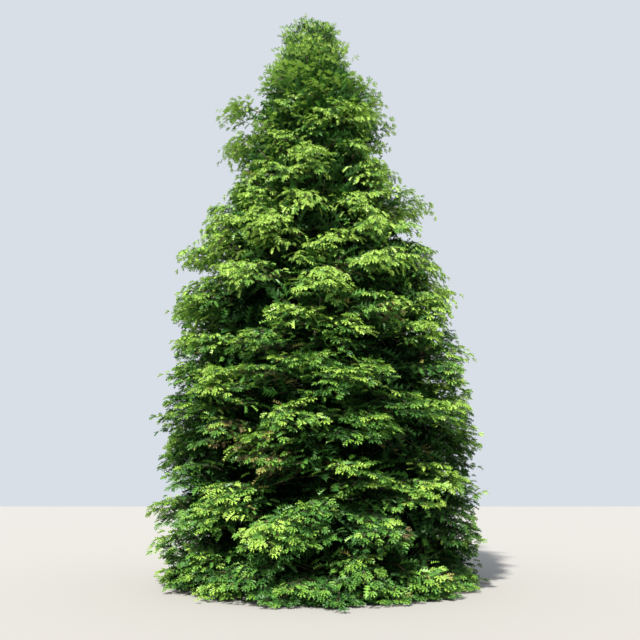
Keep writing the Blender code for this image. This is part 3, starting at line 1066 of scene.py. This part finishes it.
TOP_HABIT = Habit(
    area=0.72,
    shy=0.20,
    youth_and_light=0.05,
    layers=2.0,
    layer_gap=0.17,
    stray=0.15,
    fade=0.50,
    plate=0.62,
    width=0.36,
    hump=-0.02,
    drop=-0.30,
    hang=-0.20,
    uneven=0.42,
    twig_hang=-0.6,
    rise=0.35,
    bush=0.90,
    shoot=0.088,
)
HABITS = ((3.2, LOW_HABIT), (6.6, MID_HABIT), (9.4, HIGH_HABIT), (12.0, TOP_HABIT))  # each at its height


@dataclass(frozen=True)
class Spacing:
    """The distances between things on one side of what carries them, and how they lean."""

    branch: float = 0.33
    branch_angle: float = math.radians(50.0)
    branch_share: float = 0.60
    twig: float = 0.28
    twig_angle: float = math.radians(52.0)
    twig_longest: float = 0.31
    twig_shortest: float = 0.07
    bud_depth: float = 0.65  # the depth past which no new shoots open
    inner_twig: float = 0.10
    inner_shoot: float = 0.23
    inner_depth: float = 0.55  # the least depth that the dark inner shoots stand at
    inner_slack: float = 0.15  # how much less of it their tips may have
    inner_least: float = 0.15
    inner_shoots: Range = (0.11, 0.08)  # their length at that depth, and what each metre more adds
    inner_shading: tuple[float, float, float] = (0.48, 0.52, 1.05)  # their tint, darker as painted shade, in the same way, and the darkest
    inner_dry: float = 0.01
    inner_rise: float = 0.1
    skirt: int = 3  # mounds that lie on the ground in each of the lowest sectors
    landmark: float = 0.14  # the least swell of the outline that a mound of its own stands at
    core: float = 0.06  # up the trunk, between the branches nearest to it, whose shoots are dark as painted shade
    core_bare: float = 0.18
    inward_shade: float = 0.15  # painted shade: how much darker the tint is dealt with each metre into the crown
    height_light: float = 0.03  # painted light: how much lighter the tint is dealt with each metre up
    brightest: float = 7.5  # the height that it ends at
    layer_curve: float = 0.7  # how far a mound's outer layers fall back, over their gap
    layer_shade: float = 0.11  # painted shade: how much darker the tint is from one bough of a mound to the one below it
    twig_age_and_shade: float = 0.34  # how much darker the tint is from a twig's tip to its root: older needles, and painted shade inside the spray
    twig_ends: Range = (0.04, 0.05)  # the bare lengths at a branch's root and tip
    branch_ends: Range = (0.05, 0.14)  # and at the root of a branch and the tip of its bough
    branch_least: float = 0.09
    plate_most: float = 0.85  # of a bough's length
    bough_bare: Range = (0.08, 0.05)  # the least length with no branches, and with no inner shoots
    leader_shoot: float = 1.12  # the length of a branch's own shoots, over those of its twigs
    stem_root: float = 0.6  # of the trunk's radius, where a stem starts inside it
    stem_share: float = 0.80  # of a mass's reach
    stem_bare: float = 0.1
    sector_share: float = 0.97
    least_mounds: int = 3


@dataclass(frozen=True)
class Crest:
    """The whorls on the leader, with their distances from the trunk's tip and from the crown's height."""

    whorls: int = 6
    boughs: int = 5
    first_whorl: float = 0.25
    last_whorl: float = 0.55
    leader_room: float = 0.26
    leader_age: float = 0.05
    leader_bare: float = 0.9
    bough_room: float = 0.58
    bough_bare: float = 0.10


@dataclass(frozen=True)
class Bend:
    """The shares of a limb's length, rise or fall that give its spray and its curve their shape."""

    root_twigs: Range = (0.5, 2.2)  # the twigs' length at a branch's root, and how fast it grows
    tip_twigs: Range = (0.2, 1.4)  # at its tip, and how fast it grows towards the root
    twig_lean: float = 0.5  # how far twigs may lean down, over how far they may lean up
    branch_corners: Range = (0.4, 0.75)  # where a branch's second and third corners lie along it
    branch_lean: float = 0.15  # how far its tip turns towards the bough's
    branch_bend: float = 0.4  # how much of its bend the third corner has
    knee: float = 0.95  # the start of a bough's leafy part, back from its tip over its length
    knee_lift: Range = (0.85, 0.6)  # the second corner's place before it, and its hump
    plate: Range = (0.40, 0.5)  # the third corner's place back from the tip, and its fall
    inner_ahead: float = 0.5
    whorl_second: Range = (0.45, 0.15)  # a whorl bough's corners, outwards and upwards
    whorl_third: Range = (0.85, 0.5)


@dataclass(frozen=True)
class Girth:
    """Radii of the wood, from root to tip, and how they fall."""

    twig: Range = (0.0038, 0.0004)
    inner_twig: Range = (0.006, 0.001)
    core: tuple[float, float, float] = (0.016, 0.011, 0.004)
    stem: float = 0.032
    stem_step: float = 0.004
    bough: float = 0.016
    leader: float = 0.022
    whorl: float = 0.012
    branch_share: float = 0.4  # of its bough's
    taper: float = 0.85


@dataclass(frozen=True)
class Chance:
    """The least and the most of what chance decides, in metres, radians and shares."""

    twig_length: Range = (0.75, 1.15)
    twig_angle: Range = (0.8, 1.15)
    twig_age: Range = (-0.08, 0.08)
    step: Range = (0.40, 0.60)  # to the next twig or branch, on the other side
    roll: Range = (-0.25, 0.25)
    start: Range = (0.0, 0.1)
    branch_length: Range = (0.75, 1.1)
    branch_angle: Range = (0.75, 1.25)
    branch_hang: Range = (0.4, 1.5)
    branch_age: Range = (-0.07, 0.10)
    branch_roll: Range = (-0.1, 0.4)
    inner_step: Range = (0.7, 1.3)
    inner_roll: Range = (-0.9, 0.9)
    inner_lean: Range = (-0.7, 0.5)
    inner_length: Range = (0.30, 0.95)
    core_lean: Range = (-0.1, 0.35)
    core_reach: Range = (0.35, 0.78)
    mound_place: Range = (-0.12, 0.12)
    skirt_place: Range = (0.3, 0.7)
    skirt_height: Range = (-0.98, -0.80)
    fork: Range = (0.0, 0.34)
    furthest: float = 1.01
    mound_age: Range = (-0.16, 0.16)
    layers: Range = (-0.5, 0.5)
    inwards: Range = (0.0, 0.7)
    plate: Range = (0.75, 1.25)
    drop: Range = (0.5, 1.4)
    whorl_turn: Range = (-0.15, 0.15)
    whorl_rise: Range = (0.35, 0.60)
    whorl_reach: Range = (0.80, 1.0)
    whorl_age: Range = (-0.08, 0.10)


SPACING = Spacing()
CREST = Crest()
BEND = Bend()
GIRTH = Girth()
CHANCE = Chance()
WIDEST = 3.40  # the most that any bough reaches, with its last shoots
TIP_ROOM = 0.13  # what the last shoots add past a bough's end
LOWEST = 0.06
NEAR_ZERO = 1e-3
HAIR = 1e-6
BRANCH_POINTS = 5
BOUGH_POINTS = 9
WHORL_POINTS = 7


def heading(angle: float) -> Vector:
    """The level unit vector at an azimuth."""
    return Vector((math.cos(angle), math.sin(angle), 0.0))


def bezier(corners: list[Vector], count: int) -> list[Vector]:
    """Evenly timed points on the cubic curve of four corners.

    Args:
        corners: the curve's corners.
        count: how many points.

    Returns:
        The points.
    """
    line = []
    for i in range(count):
        t = i / (count - 1)
        s = 1.0 - t
        weights = (s * s * s, 3.0 * s * s * t, 3.0 * s * t * t, t * t * t)
        line.append(sum((corner * weight for corner, weight in zip(corners, weights)), Vector()))
    return line


class Line:
    """A line that can be read at any distance from its root."""

    def __init__(self, points: list[Vector]) -> None:
        """Measures the line.

        Args:
            points: the line's points.
        """
        self.points = points
        self.stops = [0.0]
        for a, b in zip(points, points[1:]):
            self.stops.append(self.stops[-1] + (b - a).length)
        self.length = self.stops[-1]

    def at(self, distance: float) -> tuple[Vector, Vector]:
        """The place and the direction at a distance along the line.

        Args:
            distance: how far from the root.

        Returns:
            The point and a unit vector.
        """
        distance = max(0.0, min(distance, self.length - HAIR))
        i = 0
        while i + 2 < len(self.stops) and self.stops[i + 1] < distance:
            i += 1
        a, b = self.points[i], self.points[i + 1]
        span = self.stops[i + 1] - self.stops[i]
        return a.lerp(b, (distance - self.stops[i]) / span), (b - a) / span


def flat_frame(way: Vector, roll: float) -> tuple[Vector, Vector]:
    """The side and the upper side of a spray.

    Args:
        way: the unit direction the spray runs in.
        roll: how far it is turned about that direction.

    Returns:
        A unit vector to its left and one out of its upper side.
    """
    left = UP.cross(way)
    left = left.normalized() if left.length > NEAR_ZERO else Vector((1.0, 0.0, 0.0))
    turned = Matrix.Rotation(roll, 3, way) @ left
    return turned, way.cross(turned).normalized()


@dataclass(frozen=True)
class Dress:
    """What a bough's branches and twigs share: their habit, how old their needles are with their painted
    shade, and the bough's tip.
    """

    habit: Habit
    age: float
    tip: Vector

    def age_and_shade_at(self, place: Vector) -> float:
        """How old the outermost needles at a place are, darkened further as painted shade the deeper the
        place lies in the crown.
        """
        # Painted shade: deeper in the crown the tint is darker. Further from the bough's tip it is darker
        # too, for older needles and painted shade.
        inside = SPACING.inward_shade * max(0.0, depth(place))
        return self.age + inside + self.habit.fade * (place - self.tip).length

    def needles(self, base: Vector, ages: list[float], scale: float = 1.0) -> dict[str, Numbers]:
        """The values that a line of shoots carries.

        Args:
            base: where the line starts.
            ages: how old the needles are at each point, with their painted shade.
            scale: the shoots' length over the habit's.

        Returns:
            The values by name.
        """
        dry = max(patch.at(base) for patch in DRY_PATCHES)
        length = self.habit.shoot * scale
        bud = 1.0 if depth(base) < SPACING.bud_depth else 0.0
        return {"age": ages, "dry": dry, "rise": self.habit.rise, "shoot_length": length, "bud": bud}


class Grower:
    """Grows the boughs, branches and twigs of one part of the crown."""

    def __init__(self, ceiling: float) -> None:
        """Starts with nothing grown.

        Args:
            ceiling: the height that no path may pass.
        """
        self.ceiling = ceiling
        self.limbs = Paths(("radius",), False)
        self.twigs = Paths(("radius",), False)
        self.leafy = Paths(("age", "dry", "rise", "shoot_length", "bud"), True)

    def settle(self, place: Vector) -> Vector:
        """Keeps a point off the ground and under the top."""
        return Vector((place.x, place.y, max(LOWEST, min(place.z, self.ceiling))))

    def twig(self, base: Vector, way: Vector, up: Vector, length: float, age: float, dress: Dress) -> None:
        """Grows one leafy twig.

        Args:
            base: where it leaves its branch.
            way: its first direction.
            up: its upper side.
            length: its length.
            age: how old the needles are at its tip, with their painted shade.
            dress: what it shares with its bough.
        """
        drop = dress.habit.twig_hang * length * length
        line = [base, self.settle(base + way * length - UP * drop)]
        self.twigs.add(line, radius=[*GIRTH.twig])
        # The root end is dealt a darker tint: older needles, and painted shade.
        self.leafy.add(line, [up] * 2, **dress.needles(base, [age + SPACING.twig_age_and_shade, age]))

    def branch(
        self, line: Line, bare: float, thick: float, roll: float, dress: Dress, rng: random.Random
    ) -> None:
        """Grows a branch's wood and the twigs on both its sides.

        Args:
            line: the branch's line.
            bare: the length at its root that has no twigs.
            thick: its radius at the root.
            roll: how far its spray is turned about the branch.
            dress: what it shares with its bough.
            rng: its random numbers.
        """
        count = len(line.points)
        radii = [thick * (1.0 - GIRTH.taper * i / (count - 1)) for i in range(count)]
        self.limbs.add(list(line.points), radius=radii)
        leafy = line.length - bare
        tail = [line.at(bare + leafy * i / 3.0) for i in range(4)]
        # Darker tints towards the root: older needles, and painted shade.
        darker = [SPACING.twig_age_and_shade * (1.0 - i / 3.0) for i in range(4)]
        ages = [dress.age_and_shade_at(place) + more for (place, _), more in zip(tail, darker)]
        ups = [flat_frame(way, roll)[1] for _, way in tail]
        values = dress.needles(line.points[-1], ages, SPACING.leader_shoot)
        self.leafy.add([place for place, _ in tail], ups, **values)
        side, stop = 1.0, bare + SPACING.twig_ends[0]
        while stop < line.length - SPACING.twig_ends[1]:
            base, way = line.at(stop)
            left, up = flat_frame(way, roll)
            share = (stop - bare) / leafy
            from_root = BEND.root_twigs[0] + BEND.root_twigs[1] * share
            from_tip = BEND.tip_twigs[1] * (1.0 - share) + BEND.tip_twigs[0]
            reach = min(1.0, from_root) * min(1.0, from_tip)
            length = SPACING.twig_longest * reach * rng.uniform(*CHANCE.twig_length)
            angle = SPACING.twig_angle * rng.uniform(*CHANCE.twig_angle)
            out = way * math.cos(angle) + left * (side * math.sin(angle))
            out += up * rng.uniform(-BEND.twig_lean * dress.habit.bush, dress.habit.bush)
            age = dress.age_and_shade_at(base) + rng.uniform(*CHANCE.twig_age)
            self.twig(base, out.normalized(), up, max(SPACING.twig_shortest, length), age, dress)
            side = -side
            stop += SPACING.twig * rng.uniform(*CHANCE.step)

    def bough(self, line: Line, bare: float, thick: float, dress: Dress, rng: random.Random) -> None:
        """Grows a bough: its own spray and the branches that fan out on both its sides.

        Args:
            line: the bough's line.
            bare: the length at its root that has no branches.
            thick: its radius at the root.
            dress: its habit, how old its needles are with their painted shade, and its tip.
            rng: its random numbers.
        """
        roll = rng.uniform(*CHANCE.roll)
        habit = dress.habit
        self.branch(line, bare, thick, roll, dress, rng)
        side, stop = rng.choice((-1.0, 1.0)), bare + rng.uniform(*CHANCE.start)
        while stop < line.length - SPACING.branch_ends[1]:
            base, way = line.at(stop)
            left, _ = flat_frame(way, roll)
            most = SPACING.branch_least + SPACING.branch_share * (line.length - stop)
            length = min(habit.width, most) * rng.uniform(*CHANCE.branch_length)
            angle = SPACING.branch_angle * rng.uniform(*CHANCE.branch_angle)
            out = way * math.cos(angle) + left * (side * math.sin(angle))
            out += UP * rng.uniform(-habit.uneven, habit.uneven)
            hang = habit.hang * length * rng.uniform(*CHANCE.branch_hang)
            bend = way * (BEND.branch_lean * length) - UP * hang
            second, third = BEND.branch_corners
            corners = [base, base + out * (second * length)]
            corners.append(base + out * (third * length) + bend * BEND.branch_bend)
            corners.append(base + out * length + bend)
            grown = Line([self.settle(p) for p in bezier(corners, BRANCH_POINTS)])
            aged_and_shaded = Dress(habit, dress.age + rng.uniform(*CHANCE.branch_age), dress.tip)
            tilt = roll + side * rng.uniform(*CHANCE.branch_roll)
            self.branch(grown, SPACING.branch_ends[0], thick * GIRTH.branch_share, tilt, aged_and_shaded, rng)
            side = -side
            stop += SPACING.branch * rng.uniform(*CHANCE.step)

    def inner_shoots(self, line: Line, start: float, end: float, rng: random.Random) -> None:
        """Grows the sparse shoots along a limb inside the crown, dealt dark tints as painted shade.

        Args:
            line: the limb's line.
            start: where they start along it.
            end: where they end.
            rng: their random numbers.
        """
        stop, side = start, 1.0
        old = {"dry": SPACING.inner_dry, "rise": SPACING.inner_rise, "bud": 0.0}
        while stop < end:
            base, way = line.at(stop)
            side = -side
            stop += SPACING.inner_twig * rng.uniform(*CHANCE.inner_step)
            room = cover(base) - SPACING.inner_depth
            if room < 0.0:
                continue
            left, up = flat_frame(way, rng.uniform(*CHANCE.inner_roll))
            lean = up * rng.uniform(*CHANCE.inner_lean)
            out = (way * BEND.inner_ahead + left * side + lean).normalized()
            length = min(rng.uniform(*CHANCE.inner_length), SPACING.inner_least + room)
            tip = self.settle(base + out * length)
            tip_room = cover(tip) - SPACING.inner_depth
            if tip_room < -SPACING.inner_slack * SPACING.inner_depth:
                continue
            least, more = SPACING.inner_shoots
            size = min(SPACING.inner_shoot, least + more * (room + max(0.0, tip_room)))
            # Painted shade: the deeper these shoots stand, the darker their tint.
            least, more, most = SPACING.inner_shading
            ages = [min(most, least + more * max(0.0, inside)) for inside in (room, tip_room)]
            self.twigs.add([base, tip], radius=[*GIRTH.inner_twig])
            self.leafy.add([base, tip], [up] * 2, age=ages, shoot_length=size, **old)

    def core(self, low: float, high: float) -> None:
        """Grows the short branches round the trunk, whose shoots, dark as painted shade, fill the crown.

        Args:
            low: the height they start at.
            high: the height they end at.
        """
        rng = random.Random(f"{SEED}/core/{low:.2f}")
        for i in range(int((high - low) / SPACING.core)):
            flat = heading(2.0 * math.pi * ((low + i * GOLDEN_STEP) % 1.0))
            base = TRUNK.axis(low + i * SPACING.core)
            way = flat + UP * rng.uniform(*CHANCE.core_lean)
            out = way * (outline(base + flat) * rng.uniform(*CHANCE.core_reach))
            line = Line([self.settle(base + out * share) for share in (0.0, 0.5, 1.0)])
            self.limbs.add(list(line.points), radius=[*GIRTH.core])
            self.inner_shoots(line, SPACING.core_bare, line.length, rng)

    def mass(self, cell: Cell) -> None:
        """Grows what stands in one cell: a stem and the boughs that fork from it.

        Args:
            cell: the mass's space.
        """
        rng = random.Random(f"{SEED}/dress/{cell.label}")
        start = cell.inner if cell.has_bough else cell.trunk * SPACING.stem_root
        end = cell.outer * SPACING.stem_share
        stem = Line([cell.limb_point(start + (end - start) * i / 5.0) for i in range(6)])
        self.limbs.add(list(stem.points), radius=[GIRTH.stem - GIRTH.stem_step * i for i in range(6)])
        self.inner_shoots(stem, SPACING.stem_bare, stem.length, rng)
        rim_height = cell.height(cell.outer, 1.0) - cell.height(cell.outer, -1.0)
        area = Habit.at(cell.height(cell.outer, 0.0)).area
        count = max(SPACING.least_mounds, round(2.0 * cell.half_angle * cell.outer * rim_height / area))
        phase = rng.random()
        for i in range(count):
            across = ((phase + i * GOLDEN_STEP) % 1.0) * 2.0 - 1.0
            share = (i + 0.5) / count * 2.0 - 1.0 + rng.uniform(*CHANCE.mound_place)
            self.mound(cell, stem, across * SPACING.sector_share, share, rng)
        for swell in SWELLS:
            across, share = cell.find(swell.height, math.radians(swell.azimuth))
            if swell.reach > SPACING.landmark and max(abs(across), abs(share)) < 1.0:
                self.mound(cell, stem, across, share, rng)
        if cell.tier == 0:
            for i in range(SPACING.skirt):
                across = (i + rng.uniform(*CHANCE.skirt_place)) / SPACING.skirt * 2.0 - 1.0
                self.mound(cell, stem, across, rng.uniform(*CHANCE.skirt_height), rng)

    def mound(self, cell: Cell, stem: Line, across: float, share: float, rng: random.Random) -> None:
        """Grows a mound of boughs whose tips lie one over another.

        Args:
            cell: the mass's space.
            stem: the mass's stem.
            across: the mound's place across the sector, from -1 to 1.
            share: its place up the tier, from -1 to 1.
            rng: its random numbers.
        """
        fork = rng.uniform(*CHANCE.fork)
        rim = cell.point(cell.rim_radius(share), across, share)
        habit = Habit.at(rim.z)
        axis = TRUNK.axis(rim.z)
        turn = math.atan2(rim.y - axis.y, rim.x - axis.x)
        reach = rng.uniform(1.0 - habit.shy, CHANCE.furthest)
        # Lighter tints higher up: younger needles, and painted light and shade by height.
        age = rng.uniform(*CHANCE.mound_age) - habit.youth_and_light
        # Painted light: the higher the mound, up to a height, the lighter its tint.
        age -= SPACING.height_light * min(rim.z, SPACING.brightest)
        layers = round(habit.layers + rng.uniform(*CHANCE.layers))
        for i in range(layers):
            level = i - (layers - 1) / 2.0
            aside = rng.uniform(-habit.stray, habit.stray) / cell.outer
            tip = axis + heading(turn + aside) * cell.outer + UP * (level * habit.layer_gap)
            inner = SPACING.layer_curve * level * level + rng.uniform(*CHANCE.inwards)
            inwards = TIP_ROOM + habit.layer_gap * inner
            # Painted shade: each bough that lies under another is dealt a darker tint.
            aged_and_shaded = Dress(habit, age - SPACING.layer_shade * level, tip)
            self.mound_bough(stem.at(stem.length * fork)[0], aged_and_shaded, outline(tip) * reach - inwards, rng)

    def mound_bough(self, fork: Vector, dress: Dress, reach: float, rng: random.Random) -> None:
        """Grows one bough of a mound.

        Args:
            fork: where it leaves the mass's stem.
            dress: its habit and age, with the direction and the level of its tip.
            reach: how far from the trunk's axis it ends.
            rng: its random numbers.
        """
        habit = dress.habit
        axis = TRUNK.axis(dress.tip.z)
        out = dress.tip - axis
        tip = axis + out.normalized() * reach
        gap = tip - fork
        plate = min(habit.plate * rng.uniform(*CHANCE.plate), SPACING.plate_most * gap.length)
        drop = habit.drop * plate * rng.uniform(*CHANCE.drop)
        back = Vector((-gap.x, -gap.y, 0.0)).normalized() * plate
        knee = tip + back * BEND.knee + UP * drop
        before, lift = BEND.knee_lift
        behind, fall = BEND.plate
        corners = [
            fork,
            fork.lerp(knee, before) + UP * (habit.hump * plate * lift),
            tip + back * behind + UP * (fall * drop + habit.hump * plate),
            tip,
        ]
        line = Line([self.settle(p) for p in bezier(corners, BOUGH_POINTS)])
        least, inner = SPACING.bough_bare
        bare = max(least, line.length - plate)
        self.bough(line, bare, GIRTH.bough, Dress(habit, dress.age, tip), rng)
        self.inner_shoots(line, inner, bare, rng)

    def crest(self, height: float) -> None:
        """Grows the leader over the trunk's tip and its whorls of short climbing boughs.

        Args:
            height: the crown's full height.
        """
        rng = random.Random(f"{SEED}/dress/crest")
        foot = TRUNK.axis(TRUNK.top)
        tip = Vector((foot.x, foot.y, height - CREST.leader_room))
        leader = Line([foot.lerp(tip, i / 6.0) for i in range(7)])
        dress = Dress(Habit.at(height), CREST.leader_age, tip)
        self.branch(leader, CREST.leader_bare, GIRTH.leader, 0.0, dress, rng)
        for i in range(CREST.whorls):
            z = foot.z - CREST.first_whorl + (height - CREST.last_whorl - foot.z) * i / (CREST.whorls - 1)
            base = TRUNK.axis(z)
            for k in range(CREST.boughs):
                place = k + 0.5 * (i % 2) + rng.uniform(*CHANCE.whorl_turn)
                flat = heading(2.0 * math.pi * place / CREST.boughs)
                rise = min(height - CREST.bough_room - z, rng.uniform(*CHANCE.whorl_rise))
                end = base + UP * rise
                reach = outline(end + flat) * rng.uniform(*CHANCE.whorl_reach) - TIP_ROOM
                corners = [base]
                for outwards, upwards in (BEND.whorl_second, BEND.whorl_third):
                    corners.append(base + flat * (outwards * reach) + UP * (upwards * rise))
                corners.append(end + flat * reach)
                line = Line([self.settle(p) for p in bezier(corners, WHORL_POINTS)])
                dress = Dress(Habit.at(end.z), rng.uniform(*CHANCE.whorl_age), line.points[-1])
                self.bough(line, CREST.bough_bare, GIRTH.whorl, dress, rng)


# ---------------------------------------------------------------- bark with relief


@dataclass(frozen=True)
class BarkSkin:
    """A limb's skin: rings of points pushed in and out by furrows."""

    sides: int
    rings: int
    furrow: float
    grain: Vector
    octaves: int = 4
    upright: float = 0.9  # a limb that climbs more steeply than this is taken as upright

    def skin(
        self, axis: list[Vector], ways: list[Vector], radii: list[float], lobes: list[float]
    ) -> tuple[list[Vector], list[tuple[int, ...]]]:
        """Rings of points round an axis.

        Args:
            axis: the limb's middle at each ring.
            ways: its direction there.
            radii: its radius there.
            lobes: how deep the root lobes are there, as a share of the radius.

        Returns:
            The points and the faces.
        """
        points, faces = [], []
        for middle, way, radius, lobe in zip(axis, ways, radii, lobes):
            left, up = flat_frame(way.normalized(), 0.0)
            if abs(way.normalized().z) > self.upright:
                left, up = Vector((1.0, 0.0, 0.0)), Vector((0.0, 1.0, 0.0))
            for k in range(self.sides):
                angle = 2.0 * math.pi * k / self.sides
                out = left * math.cos(angle) + up * math.sin(angle)
                place = middle + out * radius
                spot = Vector((place.x * self.grain.x, place.y * self.grain.y, place.z * self.grain.z))
                rough = noise.turbulence(spot, self.octaves, False) - 0.5
                push = radius * lobe * math.cos(TRUNK.root_lobes * angle) - self.furrow * abs(rough) * 2.0
                points.append(place + out * push)
        for i in range(len(axis) - 1):
            for k in range(self.sides):
                j = (k + 1) % self.sides
                low, high = i * self.sides, (i + 1) * self.sides
                faces.append((low + k, low + j, high + j, high + k))
        faces.append(tuple(range(self.sides))[::-1])
        last = (len(axis) - 1) * self.sides
        faces.append(tuple(range(last, last + self.sides)))
        return points, faces


@dataclass
class Trunk:
    """The trunk in its bark, whole from the flat cut at the ground to its tip."""

    finish: bpy.types.Material
    node: str = "trunk"
    bark: BarkSkin = BarkSkin(48, 160, 0.016, Vector((11.0, 11.0, 2.6)))
    crowding: float = 1.35  # how the rings crowd towards the root flare

    def build(self) -> None:
        """Builds the trunk's skin over its solid."""
        rings = self.bark.rings
        heights = [TRUNK.top * (i / (rings - 1)) ** self.crowding for i in range(rings)]
        axis = [TRUNK.axis(z) for z in heights]
        lobes = [TRUNK.lobe_depth * math.exp(-z / TRUNK.flare_height) for z in heights]
        radii = [TRUNK.radius(z) for z in heights]
        points, faces = self.bark.skin(axis, [UP] * rings, radii, lobes)
        stand_for(mesh_piece("trunk_bark", points, faces, self.finish), [self.node])


@dataclass
class MainBoughs:
    """The bare inner stretches of the lowest boughs, from the trunk to the foliage."""

    finish: bpy.types.Material
    bark: BarkSkin = BarkSkin(12, 14, 0.004, Vector((16.0, 16.0, 16.0)))
    base_radius: float = 0.052
    tip_radius: float = 0.034
    root_share: float = 0.7  # of the trunk's radius, where a bough starts inside it

    def build(self, spaces: list[Cell]) -> None:
        """Builds every bough as one piece.

        Args:
            spaces: the crown's cells.
        """
        rings = self.bark.rings
        points: list[Vector] = []
        faces: list[tuple[int, ...]] = []
        carriers = [cell for cell in spaces if cell.has_bough]
        shares = [i / (rings - 1) for i in range(rings)]
        change = self.tip_radius - self.base_radius
        radii = [self.base_radius + change * math.sqrt(share) for share in shares]
        for cell in carriers:
            start = cell.trunk * self.root_share
            axis = [cell.limb_point(start + (cell.inner - start) * share) for share in shares]
            ways = [b - a for a, b in zip(axis, axis[1:])]
            more, sheets = self.bark.skin(axis, [*ways, ways[-1]], radii, [0.0] * rings)
            faces += [tuple(i + len(points) for i in face) for face in sheets]
            points += more
        piece = mesh_piece("bough_bark", points, faces, self.finish)
        stand_for(piece, [f"bough_{cell.label}" for cell in carriers])


# ---------------------------------------------------------------- the crown


@dataclass
class Crown:
    """Everything that grows on the trunk and the main boughs."""

    young: ShootShape = ShootShape()
    old: ShootShape = ShootShape(bunches=4, half_width=0.25, sweep=0.15)
    ceiling: float = 13.12
    flat_tiers: int = 8  # the tiers whose sprays lie flat
    flat_rise: float = math.radians(15.0)
    flat_roll: float = math.radians(22.0)
    top_room: float = 0.06  # how far the uppermost shoots stay below the crown's full height
    sides: int = 3  # of the branches and twigs

    def build(self, spaces: list[Cell]) -> None:
        """Grows and dresses the crown, one tier at a time.

        Args:
            spaces: the crown's cells.
        """
        shapes = {"Shoot": self.old.make("shoot", [(0.0, 0.0, 1.0)])}
        shapes |= {bud.name: self.young.make(bud.name.lower(), list(bud.value)) for bud in Bud}
        trees = {
            "needles": shoot_tree([tint.value.make() for tint in Tint]),
            "branches": limb_tree(Wood.BRANCH.value.make()),
            "twigs": limb_tree(Wood.TWIG.value.make()),
        }
        for tier in range(len(CROWN.sectors) + 1):
            grower = Grower(self.ceiling)
            here = [cell for cell in spaces if cell.tier == tier]
            for cell in here:
                grower.mass(cell)
            if here:
                grower.core(here[0].height(0.0, -1.0), here[0].height(0.0, 1.0))
            else:
                grower.crest(CROWN.height - self.top_room)
            label = str(tier + 1) if here else "top"
            nodes = [f"foliage_{cell.label}" for cell in here] or ["foliage_top"]
            growth = {"Shoot": shapes["Shoot"], "Bud": shapes[Bud.TUFT.name]}
            if tier < self.flat_tiers:
                growth["Bud"] = shapes[Bud.FAN.name]
                growth["Rise Spread"] = self.flat_rise
                growth["Roll Spread"] = self.flat_roll
            for kind, paths, slot, values in (
                ("needles", grower.leafy, "needles", growth),
                ("branches", grower.limbs, "bark", {"Sides": self.sides}),
                ("twigs", grower.twigs, "bark", {"Sides": self.sides, "Caps": False}),
            ):
                stand_for(run_tree(paths, f"{kind}_{label}", trees[kind], values), nodes)
        for shape in shapes.values():
            bpy.data.objects.remove(shape)


# ---------------------------------------------------------------- studio


@dataclass(frozen=True)
class Studio:
    """A plain pale floor, soft light and the camera."""

    eye: Vector = field(default_factory=lambda: Vector((0.0, -12.9, 1.6)))
    pitch: float = math.radians(15.7)
    lens: float = 35.0
    film_width: float = 36.0
    sun_from: Vector = field(default_factory=lambda: Vector((-0.40, -0.92, 1.15)))
    sun: Colour = (1.0, 0.965, 0.90)
    sun_strength: float = 7.5
    sun_angle: float = math.radians(3.0)
    sky: Colour = (0.86, 0.92, 1.0)
    sky_strength: float = 0.80
    backdrop_strength: float = 0.80
    floor: Colour = (0.34, 0.33, 0.315)
    floor_roughness: float = 0.9
    floor_size: float = 160.0

    def build(self) -> None:
        """Adds the camera, the lamp, the sky and the floor."""
        self.add_camera()
        self.add_sun()
        self.add_sky()
        self.add_floor()
        bpy.context.scene.view_settings.view_transform = "Standard"

    def add_camera(self) -> None:
        """Sets the camera at eye height, tipped up at the tree."""
        camera = linked("camera", bpy.data.cameras.new("camera"))
        camera.data.lens = self.lens
        camera.data.sensor_width = self.film_width
        camera.location = self.eye
        camera.rotation_euler = (math.pi / 2.0 + self.pitch, 0.0, 0.0)
        bpy.context.scene.camera = camera

    def add_sun(self) -> None:
        """Adds a soft-edged sun."""
        sun = linked("sun", bpy.data.lights.new("sun", "SUN"))
        sun.data.energy = self.sun_strength
        sun.data.angle = self.sun_angle
        sun.data.color = self.sun
        sun.rotation_euler = self.sun_from.to_track_quat("Z", "Y").to_euler()

    def add_sky(self) -> None:
        """Adds an even sky, with its own strength where the camera sees it."""
        world = bpy.data.worlds.new("sky")
        world.use_nodes = True
        graph = Graph(world.node_tree)
        light = world.node_tree.nodes["Background"]
        graph.fill(light, {"Color": (*self.sky, 1.0), "Strength": self.sky_strength})
        values = {"Color": (*self.sky, 1.0), "Strength": self.backdrop_strength}
        backdrop = graph.add("ShaderNodeBackground", values)
        values = {0: graph.add("ShaderNodeLightPath"), 1: light.outputs["Background"], 2: backdrop}
        mixed = graph.add("ShaderNodeMixShader", values)
        graph.fill(world.node_tree.nodes["World Output"], {"Surface": mixed})
        bpy.context.scene.world = world

    def add_floor(self) -> None:
        """Adds the floor, which is scenery."""
        half = self.floor_size / 2.0
        corners = [Vector((x * half, y * half, 0.0)) for x, y in ((-1, -1), (1, -1), (1, 1), (-1, 1))]
        values = {"Base Color": (*self.floor, 1.0), "Roughness": self.floor_roughness}
        pale, _ = surface("pale_floor", values)
        mesh_piece("floor", corners, [(0, 1, 2, 3)], pale)


def main() -> None:
    """Builds the tree in its studio."""
    logging.basicConfig(level=logging.INFO, format="%(name)s %(message)s")
    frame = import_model()
    spaces = cells()
    Trunk(Wood.TRUNK.value.make()).build()
    MainBoughs(Wood.BRANCH.value.make()).build(spaces)
    Crown().build(spaces)
    Studio().build()
    given = set(frame["nodes"])
    whole = sum(triangles(o.data) for o in bpy.data.objects if o.type == "MESH" and o.name not in given)
    LOG.info("%d triangles in all", whole)


if __name__ == "__main__":
    main()
